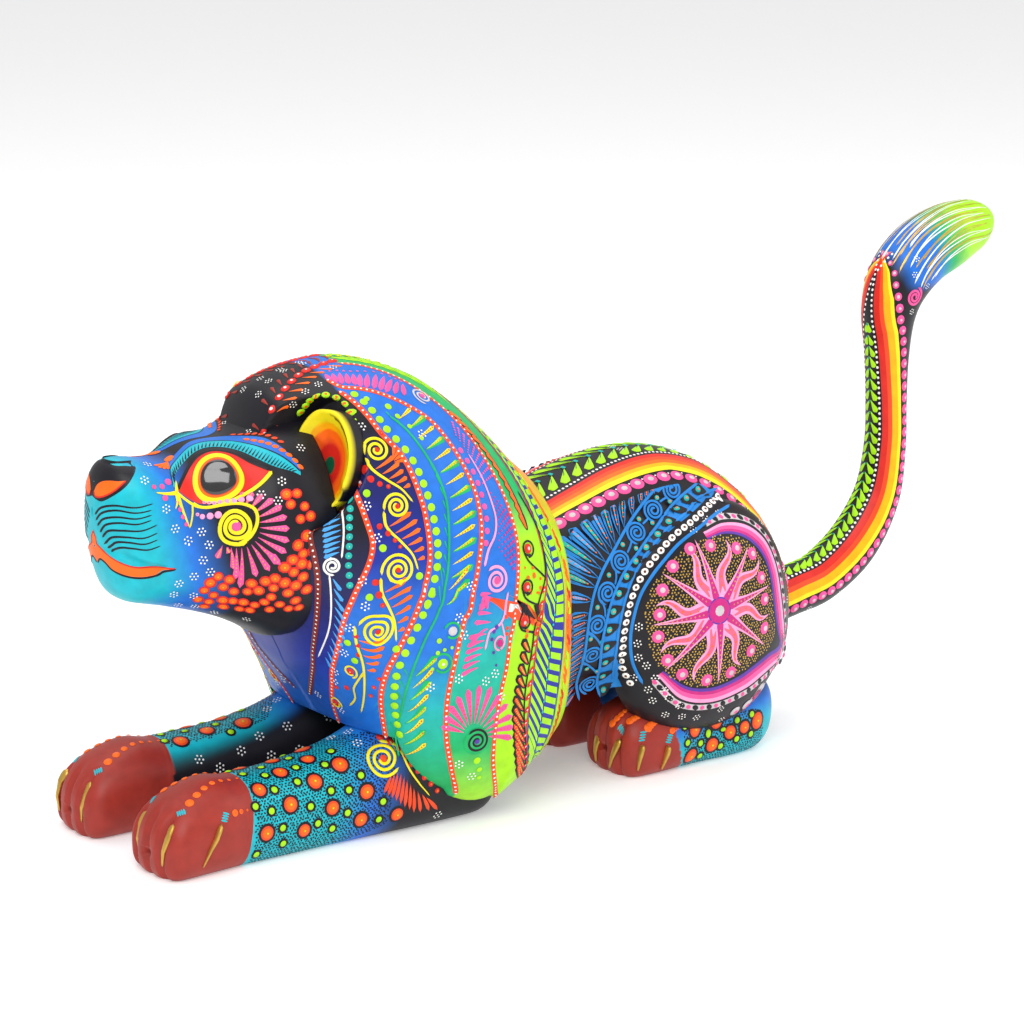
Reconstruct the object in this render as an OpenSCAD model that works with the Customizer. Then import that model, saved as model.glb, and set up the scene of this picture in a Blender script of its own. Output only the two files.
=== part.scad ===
// Painted wooden lion, crouching with its head raised and its tail curled up.
// Carved blocks of soft copal wood are pegged and glued together, and the tail plugs into the rump.
// +X points to the tail, +Z points up, the lion's own left side is at -Y and z = 0 is the table.

/* [Overall] */
// Size of the whole figure against its drawn size
figure_scale = 1; // [0.9:0.01:1.1]
// Number of sides on every carved section
carve_sides = 32; // [16:4:36]

/* [Head] */
// Front of the muzzle, on X
nose_x = -219.5; // [-222:0.5:-217]
// Plane where the head is glued to the mane block, on X
head_joint_x = -151; // [-153:0.5:-149]
// Widest half width of the cheeks
cheek_half_w = 42; // [40:0.5:44]

/* [Mane] */
// Plane where the mane block is glued to the torso, on X
mane_joint_x = -42; // [-44:0.5:-40]
// Widest half width of the mane
mane_half_w = 61.5; // [60:0.5:64]
// Top of the mane
mane_top_z = 179; // [177:0.5:181]

/* [Torso] */
// Rear end of the rump, on X
rump_x = 95.5; // [94:0.5:98]
// Top of the back
back_top_z = 126.5; // [125:0.5:129]
// Widest half width of the torso
torso_half_w = 48; // [46:0.5:50]

/* [Legs] */
// Distance of the leg centre lines from the middle plane, at the elbow and the heel
leg_spacing = 25; // [24:0.5:26]
// Turn of each foreleg outwards from straight ahead
foreleg_splay = 2; // [0:0.25:2.25]
// Height of the flat seat where the mane block sits on a foreleg
foreleg_seat_z = 40; // [38:0.5:42]
// Height of the flat seat where the torso sits on a hind foot
hind_seat_z = 30; // [28:0.5:31]
// Distance of the flat joint between haunch and torso from the middle plane
haunch_joint_y = 33; // [31:0.5:35]
// Distance of the outermost point of the haunch from the middle plane
haunch_out_y = 57; // [55:0.5:58]

/* [Ears] */
// Half height of an ear
ear_half_h = 20; // [18:0.5:22]
// Half width of an ear
ear_half_w = 14; // [13:0.5:16]
// Turn of an ear outwards from straight ahead
ear_turn = 18; // [10:1:30]

/* [Tail] */
// Radius of the tail where it leaves the rump
tail_root_r = 10.5; // [10:0.1:11]
// Side of the square tenon on the tail
tenon_side = 11; // [9:0.5:12]
// Length of the tenon
tenon_len = 24; // [18:1:30]
// Upward tilt of the tenon and its mortise
tail_tilt = 10; // [6:1:14]
// Gap on each side of the tenon
tenon_gap = 0.15; // [0.1:0.05:0.3]

/* [Dowels] */
// Radius of the large hidden dowels
dowel_r = 5; // [4:0.5:6]
// Radius of the ear pegs
ear_peg_r = 2; // [1.5:0.5:2.5]
// Radial gap around every dowel, filled with glue
glue_gap = 0.05; // [0.02:0.01:0.1]

/* [Hidden] */
$fn = 48;

// Colours of the main paint on each block
black_paint = "#17151c";
mane_paint = "#2f7fd0";
face_paint = "#1f9fc0";
ear_paint = "#f5b60c";
paw_paint = "#9c3a2c";
haunch_paint = "#e0529a";
tail_paint = "#f07a1a";
bare_wood = "#d9bf8e";

// Sections of a block along X: x, half width, bottom z, z of the widest level, top z,
// squareness of the lower half (2 is an ellipse, more is boxier)
head_sections = [
    [nose_x, 17.5, 107, 133, 151, 2.4],
    [-208, 19.5, 98, 126, 151.5, 2.3],
    [-193, 21, 93.5, 121, 149.5, 2.3],
    [-181, 25.5, 90, 119, 152.5, 2.3],
    [-170, 32, 86, 116, 154.5, 2.3],
    [-160, 38.5, 81, 114, 156, 2.2],
    [head_joint_x, cheek_half_w, 76, 114, 161, 2]];
mane_sections = [
    [-160, 36, 92, 122, mane_top_z - 16, 2],
    [-150, 45, 84, 116, mane_top_z - 8, 2],
    [-140, 50, 65, 111, mane_top_z - 3.5, 2.2],
    [-128, 55, 45, 106, mane_top_z - 0.8, 2.8],
    [-113, 59, 18, 101, mane_top_z, 3.6],
    [-95, mane_half_w, 6, 96, mane_top_z - 4.5, 4.4],
    [-78, mane_half_w, 2, 90, mane_top_z - 13, 5],
    [-62, mane_half_w - 2, 6, 86, mane_top_z - 26.5, 4.6],
    [-50, mane_half_w - 4.5, 13, 84, mane_top_z - 39, 4],
    [mane_joint_x, mane_half_w - 7, 20, 82, mane_top_z - 48, 3.6]];
torso_sections = [
    [mane_joint_x, torso_half_w - 4, 40, 76, back_top_z - 18, 2.6],
    [-20, torso_half_w - 2, 37, 76, back_top_z - 9.5, 2.6],
    [5, torso_half_w - 1, 34, 75, back_top_z - 2, 2.6],
    [28, torso_half_w, 28, 73, back_top_z, 2.6],
    [50, torso_half_w, 24, 68, back_top_z - 5, 2.6],
    [66, torso_half_w - 2, 20, 63, back_top_z - 14.5, 2.6],
    [82, torso_half_w - 5, 16, 58, back_top_z - 26, 2.6],
    [rump_x, torso_half_w - 10, 14, 54, back_top_z - 38, 2.6]];
// The muzzle is rounded over this length as seen from above
muzzle_round = 18;
plan_roundness = 2.2;
elbow_x = -64;
// The lower edge of every foot runs a little below the table and is planed off there
sole_cut = 1.5;
foreleg_sections = [
    [-217.5, 16.5, -sole_cut, 10, 21, 3.4],
    [-206, 17.5, -sole_cut, 13, 29, 3.2],
    [-192, 17.5, -sole_cut, 15, 33.5, 3],
    [-180, 16.5, -sole_cut, 15, 32, 3],
    [-150, 17, -sole_cut, 16, 33.5, 3],
    [-128, 18.5, -sole_cut, 18, 38, 3],
    [-105, 20.5, -sole_cut, 20, 47, 3],
    [-84, 20.5, -sole_cut, 20, 47, 3],
    [elbow_x, 18, -sole_cut, 18, 40, 3]];
hind_foot_sections = [
    [-4.5, 16.5, -sole_cut, 11, 23, 3.4],
    [9, 18, -sole_cut, 12, 29, 3.2],
    [23, 18, -sole_cut, 14, 32, 3],
    [33, 16.5, -sole_cut, 14, 31.5, 3],
    [56, 16, -sole_cut, 14, 33, 3],
    [78, 13, -sole_cut, 17, 33, 2.4]];

// Haunch outline, a rounded oval in the XZ plane
haunch_x = 34;
haunch_z = 62;
haunch_half_l = 42.5;
haunch_half_h = 48;
haunch_squareness = 2.3;
haunch_dome = 2.2;

// Tail: centre line points (x, z), then the radius at each of them
tail_path = [
    [86, 48.4, tail_root_r],
    [98, 50.5, tail_root_r],
    [112, 53.2, 10.6],
    [128, 57, 10.8],
    [146, 69, 11],
    [159, 88, 10],
    [163.2, 110, 9],
    [163.3, 130, 8.8],
    [163, 150, 9.6],
    [163.6, 168, 11.8],
    [169, 181, 13.6],
    [180, 191, 14.3],
    [194, 197, 14],
    [206, 200.5, 11.8],
    [219.5, 204, 9]];
tail_seat_gap = 0.2;
tail_sides = 20;
tail_rings_per_span = 3;

// Where the hidden dowels sit
neck_z = 118;
body_dowel_z = [58, 98];
foreleg_dowel_x = [-112, -84];
hind_dowel_xz = [[24, 72], [60, 72]];
dowel_half_len = 16;

// Ear: centre of its back face
ear_x = -132;
ear_y = 30;
ear_z = 147;
ear_lean = 12;
ear_depth = 12;
pocket_len = 60;

function signed_pow(v, p) = sign(v) * pow(abs(v), p);
function clamp01(v) = min(1, max(0, v));

// Smooth curve through one column of a table whose first column is the station
function span_of(t, x, i = 1) = (i >= len(t) - 1 || x <= t[i][0]) ? i : span_of(t, x, i + 1);
function slope_at(t, c, i) =
    let (a = max(i - 1, 0), b = min(i + 1, len(t) - 1))
    (t[b][c] - t[a][c]) / (t[b][0] - t[a][0]);
function along(t, c, x) =
    let (
        i = span_of(t, x),
        h = t[i][0] - t[i - 1][0],
        u = clamp01((x - t[i - 1][0]) / h),
        v = 1 - u)
    t[i - 1][c] * v * v * (1 + 2 * u) + t[i][c] * u * u * (3 - 2 * u)
    + h * u * v * (slope_at(t, c, i - 1) * v - slope_at(t, c, i) * u);

// How far a rounded end has opened, at distance d from the end of a cap of length r
function opened(d, r, e) = d >= r ? 1 : pow(1 - pow(1 - d / r, e), 1 / e);

// Stations of a block: close together inside the rounded ends, even between them
function cap_steps(r, n) = [for (i = [1 : n]) r * (1 - cos(90 * i / n))];
function reversed(v) = [for (i = [len(v) - 1 : -1 : 0]) v[i]];
function stations(x0, x1, cap0, cap1, step) =
    let (
        a = cap0 > 0 ? [for (d = cap_steps(cap0, 5)) x0 + d] : [x0],
        b = cap1 > 0 ? [for (d = reversed(cap_steps(cap1, 5))) x1 - d] : [x1],
        n = max(1, round((b[0] - a[len(a) - 1]) / step)),
        first = a[len(a) - 1],
        gap = (b[0] - first) / n)
    concat(a, [for (i = [1 : 1 : n - 1]) first + i * gap], b);

// One section of a block: a superellipse whose upper and lower halves have their own height
function section_ring(t, x, k, wide, square_top) =
    let (
        w = along(t, 1, x),
        lo = along(t, 2, x),
        mid = along(t, 3, x),
        hi = along(t, 4, x),
        square_low = along(t, 5, x))
    [for (j = [0 : carve_sides - 1])
        let (
            a = 360 * j / carve_sides,
            e = 2 / (sin(a) < 0 ? square_low : square_top),
            h = sin(a) < 0 ? mid - lo : hi - mid)
        [x, wide * w * signed_pow(cos(a), e), mid + k * h * signed_pow(sin(a), e)]];

// A closed solid through a list of rings, with a point at each end
module skin(rings, start_point, end_point) {
    n = len(rings[0]);
    m = len(rings);
    points = concat([start_point], [for (r = rings) each r], [end_point]);
    last = m * n + 1;
    sides = [for (i = [0 : m - 2], j = [0 : n - 1])
        let (
            a = 1 + i * n + j,
            b = 1 + i * n + (j + 1) % n,
            c = b + n,
            d = a + n)
        each [[a, c, b], [a, d, c]]];
    first_fan = [for (j = [0 : n - 1]) [0, 1 + j, 1 + (j + 1) % n]];
    last_fan = [for (j = [0 : n - 1]) [last, last - n + (j + 1) % n, last - n + j]];
    polyhedron(points, faces = concat(sides, first_fan, last_fan));
}

// A carved block along X from its table of sections. plan, where it is given, is the length
// over which the front end is rounded as seen from above
module block(t, cap0, cap1, e, step, square_top, plan = 0) {
    x0 = t[0][0];
    x1 = t[len(t) - 1][0];
    rings = [for (x = stations(x0, x1, max(cap0, plan), cap1, step))
        let (
            k = (cap0 > 0 ? opened(x - x0, cap0, e) : 1) * (cap1 > 0 ? opened(x1 - x, cap1, e) : 1),
            wide = plan > 0 ? opened(x - x0, plan, plan_roundness) : k)
        section_ring(t, x, k, wide, square_top)];
    skin(rings, [x0, 0, along(t, 3, x0)], [x1, 0, along(t, 3, x1)]);
}

// A cylinder along one direction, centred on a point
module dowel_x(r, half) rotate([0, 90, 0]) cylinder(r = r, h = 2 * half, center = true);
module dowel_y(r, half) rotate([90, 0, 0]) cylinder(r = r, h = 2 * half, center = true);
module dowel_z(r, half) cylinder(r = r, h = 2 * half, center = true);

module neck_dowel_shape(gap)
    translate([head_joint_x, 0, neck_z]) dowel_x(dowel_r + gap, dowel_half_len + gap);
module body_dowel_shapes(gap)
    for (z = body_dowel_z) translate([mane_joint_x, 0, z]) dowel_x(dowel_r + gap, dowel_half_len + gap);
module foreleg_dowel_shapes(side, gap)
    for (x = foreleg_dowel_x)
        translate([x, side * leg_spacing, foreleg_seat_z]) dowel_z(dowel_r + gap, dowel_half_len + gap);
module hind_leg_dowel_shapes(side, gap)
    for (p = hind_dowel_xz)
        translate([p[0], side * haunch_joint_y, p[1]]) dowel_y(dowel_r + gap, dowel_half_len + gap);

// The frame of an ear: local +Z is the way the ear faces, local +Y runs up the ear
module ear_frame(side)
    translate([ear_x, side * ear_y, ear_z])
        rotate([0, 0, side * ear_turn * -1])
            rotate([0, -90 + ear_lean, 0])
                rotate([0, 0, -90]) children();
module ear_pocket(side, h) ear_frame(side) cylinder(r = ear_half_h + 0.4, h = h);
// The peg stops inside the floor of the cup, so that it doesn't show
module ear_peg_shape(side, gap)
    ear_frame(side) translate([0, 0, -3.2]) dowel_z(ear_peg_r + gap, 5 + gap);

// Solid ear dome on its flat back, before the cup is hollowed out
module ear_dome(half_w, half_h, depth, base) {
    n = 24;
    levels = 5;
    rings = concat(
        [[for (j = [0 : n - 1]) [half_w * cos(360 * j / n), half_h * sin(360 * j / n), base]]],
        [for (i = [0 : levels - 1])
            let (s = cos(90 * i / levels), z = sin(90 * i / levels))
            [for (j = [0 : n - 1])
                [half_w * s * cos(360 * j / n), half_h * s * sin(360 * j / n), depth * (0.45 + 0.55 * z)]]]);
    skin(rings, [0, 0, base], [0, 0, depth]);
}

module ear(side) {
    color(ear_paint)
        difference() {
            ear_frame(side) ear_dome(ear_half_w, ear_half_h, ear_depth, 0);
            ear_frame(side) translate([0, -2, ear_depth + 4]) sphere(r = ear_half_w - 3);
            ear_peg_shape(side, glue_gap);
        }
}

module head()
    color(face_paint)
        difference() {
            block(head_sections, 9, 0, 2.6, 6, 2.8, muzzle_round);
            neck_dowel_shape(glue_gap);
            ear_pocket(-1, ear_depth + 1);
            ear_pocket(1, ear_depth + 1);
        }

module mane()
    color(mane_paint)
        difference() {
            block(mane_sections, 14, 0, 2, 6, 2.1);
            // seat of the head
            translate([-200, -100, 0]) cube([200 + head_joint_x, 200, 300]);
            // channel that the forelegs fill
            translate([-200, -47, -10]) cube([200 - 58, 94, foreleg_seat_z + 10]);
            neck_dowel_shape(glue_gap);
            body_dowel_shapes(glue_gap);
            foreleg_dowel_shapes(-1, glue_gap);
            foreleg_dowel_shapes(1, glue_gap);
            ear_pocket(-1, pocket_len);
            ear_pocket(1, pocket_len);
            ear_peg_shape(-1, glue_gap);
            ear_peg_shape(1, glue_gap);
        }

// The forelegs spread a little towards the paws, each turned about its elbow
module foreleg_pose(side)
    translate([elbow_x, side * leg_spacing, 0])
        rotate([0, 0, -side * foreleg_splay]) translate([-elbow_x, 0, 0]) children();

module foreleg(side)
    color(paw_paint)
        difference() {
            foreleg_pose(side) block(foreleg_sections, 10, 16, 3, 8, 2.3);
            translate([-300, -100, -20]) cube([400, 200, 20]);
            translate([-140, -100, foreleg_seat_z]) cube([120, 200, 40]);
            foreleg_dowel_shapes(side, glue_gap);
        }

// Haunch outline points around its centre
function haunch_point(a, k) = [
    haunch_x + k * haunch_half_l * signed_pow(cos(a), 2 / haunch_squareness),
    haunch_z + k * haunch_half_h * signed_pow(sin(a), 2 / haunch_squareness)];

module haunch_dome_shape(side) {
    levels = 9;
    depth = haunch_out_y - haunch_joint_y;
    rings = [for (i = [0 : levels])
        let (
            k = cos(84 * i / levels),
            y = haunch_joint_y + depth * pow(1 - pow(k, haunch_dome), 1 / haunch_dome))
        [for (j = [0 : carve_sides - 1])
            let (p = haunch_point(-360 * j / carve_sides, k))
            [p[0], y, p[1]]]];
    mirror([0, side < 0 ? 1 : 0, 0])
        skin(rings, [haunch_x, haunch_joint_y, haunch_z], [haunch_x, haunch_out_y, haunch_z]);
}

// Prism of the haunch outline, used to let the haunch into the torso
module haunch_recess(side)
    mirror([0, side < 0 ? 1 : 0, 0])
        translate([0, 100, 0]) rotate([90, 0, 0])
            linear_extrude(height = 100 - haunch_joint_y)
                polygon([for (j = [0 : carve_sides - 1]) haunch_point(360 * j / carve_sides, 1.004)]);

module hind_leg(side)
    color(haunch_paint)
        difference() {
            union() {
                haunch_dome_shape(side);
                difference() {
                    translate([0, side * leg_spacing, 0]) block(hind_foot_sections, 10, 22, 3, 9, 2.3);
                    translate([26, -100, hind_seat_z]) cube([100, 200, 40]);
                }
            }
            translate([-300, -100, -20]) cube([600, 200, 20]);
            hind_leg_dowel_shapes(side, glue_gap);
        }

// The frame of the tenon: local +X runs out of the rump along the tail root
module tail_frame()
    translate([tail_path[0][0], 0, tail_path[0][1]]) rotate([0, -tail_tilt, 0]) children();

module torso()
    color(black_paint)
        difference() {
            block(torso_sections, 0, 34, 2.2, 8, 2.1);
            // flat seat on the hind feet
            translate([-14, -100, -10]) cube([140, 200, hind_seat_z + 10]);
            haunch_recess(-1);
            haunch_recess(1);
            body_dowel_shapes(glue_gap);
            hind_leg_dowel_shapes(-1, glue_gap);
            hind_leg_dowel_shapes(1, glue_gap);
            // seat of the tail root, then the square mortise in front of it
            tail_frame() translate([-tail_seat_gap, 0, 0])
                rotate([0, 90, 0]) cylinder(r = tail_root_r + 0.5, h = 40);
            tail_frame()
                translate([-tenon_len - 1, -tenon_side / 2 - tenon_gap, -tenon_side / 2 - tenon_gap])
                    cube([tenon_len + 2, tenon_side + 2 * tenon_gap, tenon_side + 2 * tenon_gap]);
        }

// Tail path as a smooth curve: parameter s counts the points of the path
tail_table = [for (i = [0 : len(tail_path) - 1]) [i, tail_path[i][0], tail_path[i][1], tail_path[i][2]]];
tail_last = len(tail_path) - 1;
function tail_point(s) = [along(tail_table, 1, s), along(tail_table, 2, s)];
function tail_direction(s) =
    let (
        a = tail_point(max(0, s - 0.02)),
        b = tail_point(min(tail_last, s + 0.02)),
        d = b - a)
    s < 0.01 ? [cos(tail_tilt), sin(tail_tilt)] : d / norm(d);
function tail_ring(s, k) =
    let (p = tail_point(s), d = tail_direction(s), r = k * along(tail_table, 3, s))
    [for (j = [0 : tail_sides - 1])
        let (a = 360 * j / tail_sides)
        [p[0] - r * sin(a) * d[1], r * cos(a), p[1] + r * sin(a) * d[0]]];

module tail() {
    steps = (tail_last - 1) * tail_rings_per_span;
    tip = 1;
    body_rings = [for (i = [0 : steps]) tail_ring(i / tail_rings_per_span, 1)];
    tip_rings = [for (i = [1 : 5])
        let (d = sin(90 * i / 6)) tail_ring(tail_last - 1 + d * tip, cos(90 * i / 6))];
    start = tail_point(0);
    end = tail_point(tail_last);
    color(tail_paint)
        union() {
            skin(concat(body_rings, tip_rings), [start[0], 0, start[1]], [end[0], 0, end[1]]);
            tail_frame()
                translate([-tenon_len, -tenon_side / 2, -tenon_side / 2])
                    cube([tenon_len + 1, tenon_side, tenon_side]);
        }
}

module figure_size() scale(figure_scale) children();

figure_size() torso();
figure_size() mane();
figure_size() head();
figure_size() ear(-1);  // ear_left
figure_size() ear(1);  // ear_right
figure_size() foreleg(-1);  // foreleg_left
figure_size() foreleg(1);  // foreleg_right
figure_size() hind_leg(-1);  // hind_leg_left
figure_size() hind_leg(1);  // hind_leg_right
figure_size() tail();
figure_size() color(bare_wood) neck_dowel_shape(0);  // neck_dowel
figure_size() color(bare_wood) body_dowel_shapes(0);  // body_dowels
figure_size() color(bare_wood) foreleg_dowel_shapes(-1, 0);  // foreleg_dowels_left
figure_size() color(bare_wood) foreleg_dowel_shapes(1, 0);  // foreleg_dowels_right
figure_size() color(bare_wood) hind_leg_dowel_shapes(-1, 0);  // hind_leg_dowels_left
figure_size() color(bare_wood) hind_leg_dowel_shapes(1, 0);  // hind_leg_dowels_right
figure_size() color(bare_wood) ear_peg_shape(-1, 0);  // ear_peg_left
figure_size() color(bare_wood) ear_peg_shape(1, 0);  // ear_peg_right
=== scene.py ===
# %% [markdown]
# # A painted wooden lion from Oaxaca
# An alebrije is carved from soft copal wood with a machete and knives, sanded, primed and then covered with dots,
# petals and curls of acrylic paint laid on with a fine stick and a small brush. This lesson first builds each carved
# block as a smooth surface and then paints it: every dot and stroke is a real, slightly raised blob of paint.

# %% The fixed frame
import bpy
import math
import numpy as np
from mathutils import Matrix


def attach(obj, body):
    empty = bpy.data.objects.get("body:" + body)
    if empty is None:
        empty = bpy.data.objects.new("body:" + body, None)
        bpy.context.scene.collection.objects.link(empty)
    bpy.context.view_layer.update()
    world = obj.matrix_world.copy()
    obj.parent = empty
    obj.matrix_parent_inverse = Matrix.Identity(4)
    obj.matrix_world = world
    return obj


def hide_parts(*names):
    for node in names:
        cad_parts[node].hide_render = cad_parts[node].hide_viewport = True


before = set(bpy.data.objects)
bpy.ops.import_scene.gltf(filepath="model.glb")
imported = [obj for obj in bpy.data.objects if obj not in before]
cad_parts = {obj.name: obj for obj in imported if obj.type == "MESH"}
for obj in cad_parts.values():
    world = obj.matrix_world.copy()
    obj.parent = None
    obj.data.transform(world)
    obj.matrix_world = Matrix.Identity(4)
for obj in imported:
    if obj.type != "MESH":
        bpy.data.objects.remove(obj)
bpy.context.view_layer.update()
MM = 0.001
rng = np.random.default_rng(7)

# %% [markdown]
# ## Sections along a block
# A carver thinks of a block as a row of sections. Each row below is one section: where it stands on X, its half
# width, its bottom, its widest level and its top, then how boxy its lower and upper halves are (2 is an ellipse).
# A cubic curve runs through the rows, so the block is smooth with only a few numbers.

# %% Smooth tables and rounded ends
def along(table, column, x):
    """Smooth curve through a table's column: a cubic between two rows whose end slopes come from the rows around."""
    t = np.asarray(table, float)
    station, value = t[:, 0], t[:, column]
    before = np.maximum(np.arange(len(t)) - 1, 0)
    after = np.minimum(np.arange(len(t)) + 1, len(t) - 1)
    slope = (value[after] - value[before]) / (station[after] - station[before])
    x = np.clip(np.asarray(x, float), station[0], station[-1])
    i = np.clip(np.searchsorted(station, x), 1, len(t) - 1)
    h = station[i] - station[i - 1]
    u = (x - station[i - 1]) / h
    v = 1 - u
    ends = value[i - 1] * v * v * (1 + 2 * u) + value[i] * u * u * (3 - 2 * u)
    return ends + h * u * v * (slope[i - 1] * v - slope[i] * u)


def opened(d, r, e):
    """How far a rounded end has opened at distance d from its tip: a superellipse quarter of length r."""
    return (1 - (1 - np.clip(d / r, 0, 1)) ** e) ** (1 / e)


def signed_power(v, p):
    """v to the power p, keeping its sign."""
    return np.sign(v) * np.abs(v) ** p


def smooth_step(v, low, high):
    """0 below low, 1 above high, an even S between."""
    u = np.clip((v - low) / (high - low), 0, 1)
    return u * u * (3 - 2 * u)


def bump(distance):
    """A round hump: 1 at distance 0, 0 from distance 1, smooth at both."""
    return np.clip(1 - distance ** 2, 0, None) ** 2


def loft(table, x, turn, cap0=0, cap1=0, e=2.5, plan=0):
    """A point of a block: y = width cos(turn), z = middle + height sin(turn), each raised to the section's squareness.
    plan rounds the front end seen from above by its own length."""
    x, turn = np.broadcast_arrays(np.asarray(x, float), np.asarray(turn, float))
    w, low, mid, high, square_low, square_top = (along(table, c, x) for c in range(1, 7))
    open_end = np.ones_like(x)
    if cap0:
        open_end = open_end * opened(x - table[0][0], cap0, e)
    if cap1:
        open_end = open_end * opened(table[-1][0] - x, cap1, e)
    c, s = np.cos(np.radians(turn)), np.sin(np.radians(turn))
    power = 2 / np.where(s < 0, square_low, square_top)
    height = np.where(s < 0, mid - low, high - mid)
    wide = opened(x - table[0][0], plan, 2.2) if plan else open_end
    y = wide * w * signed_power(c, power)
    z = mid + open_end * height * signed_power(s, power)
    return np.stack([x, y, z], -1)


# %% [markdown]
# ## The blocks
# These tables repeat the sections of the CAD blocks, in millimetres, and the functions after them add the carving
# that the plain blocks don't have: brow, eye sockets, lips, toe grooves and the overlapping tongues of the mane's
# skirt.

# %% Section tables in millimetres
HEAD = [
    [-219.5, 17.5, 107, 133, 151, 2.4, 2.4],
    [-208, 19.5, 98, 126, 151.5, 2.3, 2.6],
    [-193, 21, 93.5, 121, 149.5, 2.3, 2.9],
    [-181, 25.5, 90, 119, 152.5, 2.3, 3.2],
    [-170, 32, 86, 116, 154.5, 2.3, 3.2],
    [-160, 38.5, 81, 114, 156, 2.2, 2.8],
    [-151, 42, 76, 114, 161, 2, 2.3],
    [-138, 42, 76, 114, 163, 2, 2.2]]
MANE = [
    [-163, 36, 92, 122, 163, 2, 2.1],
    [-150, 45, 84, 116, 171, 2, 2.1],
    [-140, 50, 65, 111, 175.5, 2.2, 2.1],
    [-128, 55, 45, 106, 178.2, 2.8, 2.1],
    [-113, 59, 18, 101, 179, 3.6, 2.1],
    [-95, 61.5, 6, 96, 174.5, 4.4, 2.1],
    [-78, 61.5, 2, 90, 166, 5, 2.1],
    [-62, 59.5, 6, 86, 152.5, 4.6, 2.1],
    [-50, 57, 13, 84, 140, 4, 2.1],
    [-40, 54.5, 20, 82, 131, 3.6, 2.1]]
TORSO = [
    [-60, 42, 41, 76, 104, 2.6, 2.1],
    [-42, 44, 40, 76, 108.5, 2.6, 2.1],
    [-20, 46, 37, 76, 117, 2.6, 2.1],
    [5, 47, 34, 75, 124.5, 2.6, 2.1],
    [28, 48, 28, 73, 126.5, 2.6, 2.1],
    [50, 48, 24, 68, 121.5, 2.6, 2.1],
    [66, 46, 20, 63, 112, 2.6, 2.1],
    [82, 43, 16, 58, 100.5, 2.6, 2.1],
    [95.5, 38, 14, 54, 88.5, 2.6, 2.1]]
FORELEG = [
    [-217.5, 16.5, -1.5, 10, 21, 3.4, 2.3],
    [-206, 17.5, -1.5, 13, 29, 3.2, 2.3],
    [-192, 17.5, -1.5, 15, 33.5, 3, 2.3],
    [-180, 16.5, -1.5, 15, 32, 3, 2.3],
    [-150, 17, -1.5, 16, 33.5, 3, 2.3],
    [-128, 18.5, -1.5, 18, 38, 3, 2.3],
    [-105, 20.5, -1.5, 20, 47, 3, 2.3],
    [-84, 20.5, -1.5, 20, 47, 3, 2.3],
    [-64, 18, -1.5, 18, 40, 3, 2.3]]
HIND_FOOT = [
    [-4.5, 16.5, -1.5, 11, 23, 3.4, 2.3],
    [9, 18, -1.5, 12, 29, 3.2, 2.3],
    [23, 18, -1.5, 14, 32, 3, 2.3],
    [33, 16.5, -1.5, 14, 31.5, 3, 2.3],
    [56, 16, -1.5, 14, 33, 3, 2.3],
    [78, 13, -1.5, 17, 33, 2.4, 2.3]]
TAIL = [  # point number, x, z and radius along the tail
    [0, 86, 48.4, 10.5],
    [1, 98, 50.5, 10.5],
    [2, 112, 53.2, 10.6],
    [3, 128, 57, 10.8],
    [4, 146, 69, 11],
    [5, 159, 88, 10],
    [6, 163.2, 110, 9],
    [7, 163.3, 130, 8.8],
    [8, 163, 150, 9.6],
    [9, 163.6, 168, 11.8],
    [10, 169, 181, 13.6],
    [11, 180, 191, 14.3],
    [12, 194, 197, 14],
    [13, 206, 200.5, 11.8],
    [14, 219.5, 204, 9]]
LEG_Y = 25  # leg centre line from the middle plane, at the elbow and the heel
ELBOW_X = -64
SPLAY = math.radians(2)  # each foreleg's turn outwards
HAUNCH = dict(x=34, z=62, half_l=42.5, half_h=48, square=2.3, joint_y=33, out_y=57, dome=2.2)
EAR = dict(x=-132, y=30, z=147, turn=18, lean=12, half_w=14, half_h=20, depth=12)


# %% The ear's own frame and the pocket it sits in
def ear_frame(p):
    """Sets points drawn in the left ear's own frame (x across, y up the ear, z the way it faces) in their place."""
    lean, turn = math.radians(-90 + EAR["lean"]), math.radians(EAR["turn"])
    x, y, z = p[..., 1], -p[..., 0], p[..., 2]
    x, z = x * math.cos(lean) + z * math.sin(lean), -x * math.sin(lean) + z * math.cos(lean)
    x, y = x * math.cos(turn) - y * math.sin(turn), x * math.sin(turn) + y * math.cos(turn)
    return np.stack([x + EAR["x"], y - EAR["y"], z + EAR["z"]], -1)


def from_ear_frame(p):
    """The left ear's own coordinates of places on the figure: the way back through ear_frame."""
    lean, turn = math.radians(-90 + EAR["lean"]), math.radians(EAR["turn"])
    x, y, z = p[..., 0] - EAR["x"], p[..., 1] + EAR["y"], p[..., 2] - EAR["z"]
    x, y = x * math.cos(turn) + y * math.sin(turn), -x * math.sin(turn) + y * math.cos(turn)
    x, z = x * math.cos(lean) - z * math.sin(lean), x * math.sin(lean) + z * math.cos(lean)
    return np.stack([-y, x, z], -1)


def into_pocket(p):
    """Presses the block back behind the ear's cup: inside the pocket's outline nothing stands in front of its floor."""
    side = np.where(p[..., 1] > 0, -1.0, 1.0)
    q = from_ear_frame(p * np.stack([np.ones_like(side), side, np.ones_like(side)], -1))
    away = np.hypot(q[..., 0] / 15.8, q[..., 1] / 21.5)
    floor = 1.5 + 60 * np.clip(away - 1, 0, 1) ** 1.2
    q = np.concatenate([q[..., :2], np.minimum(q[..., 2:], floor[..., None])], -1)
    p = ear_frame(q)
    return p * np.stack([np.ones_like(side), side, np.ones_like(side)], -1)


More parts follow.
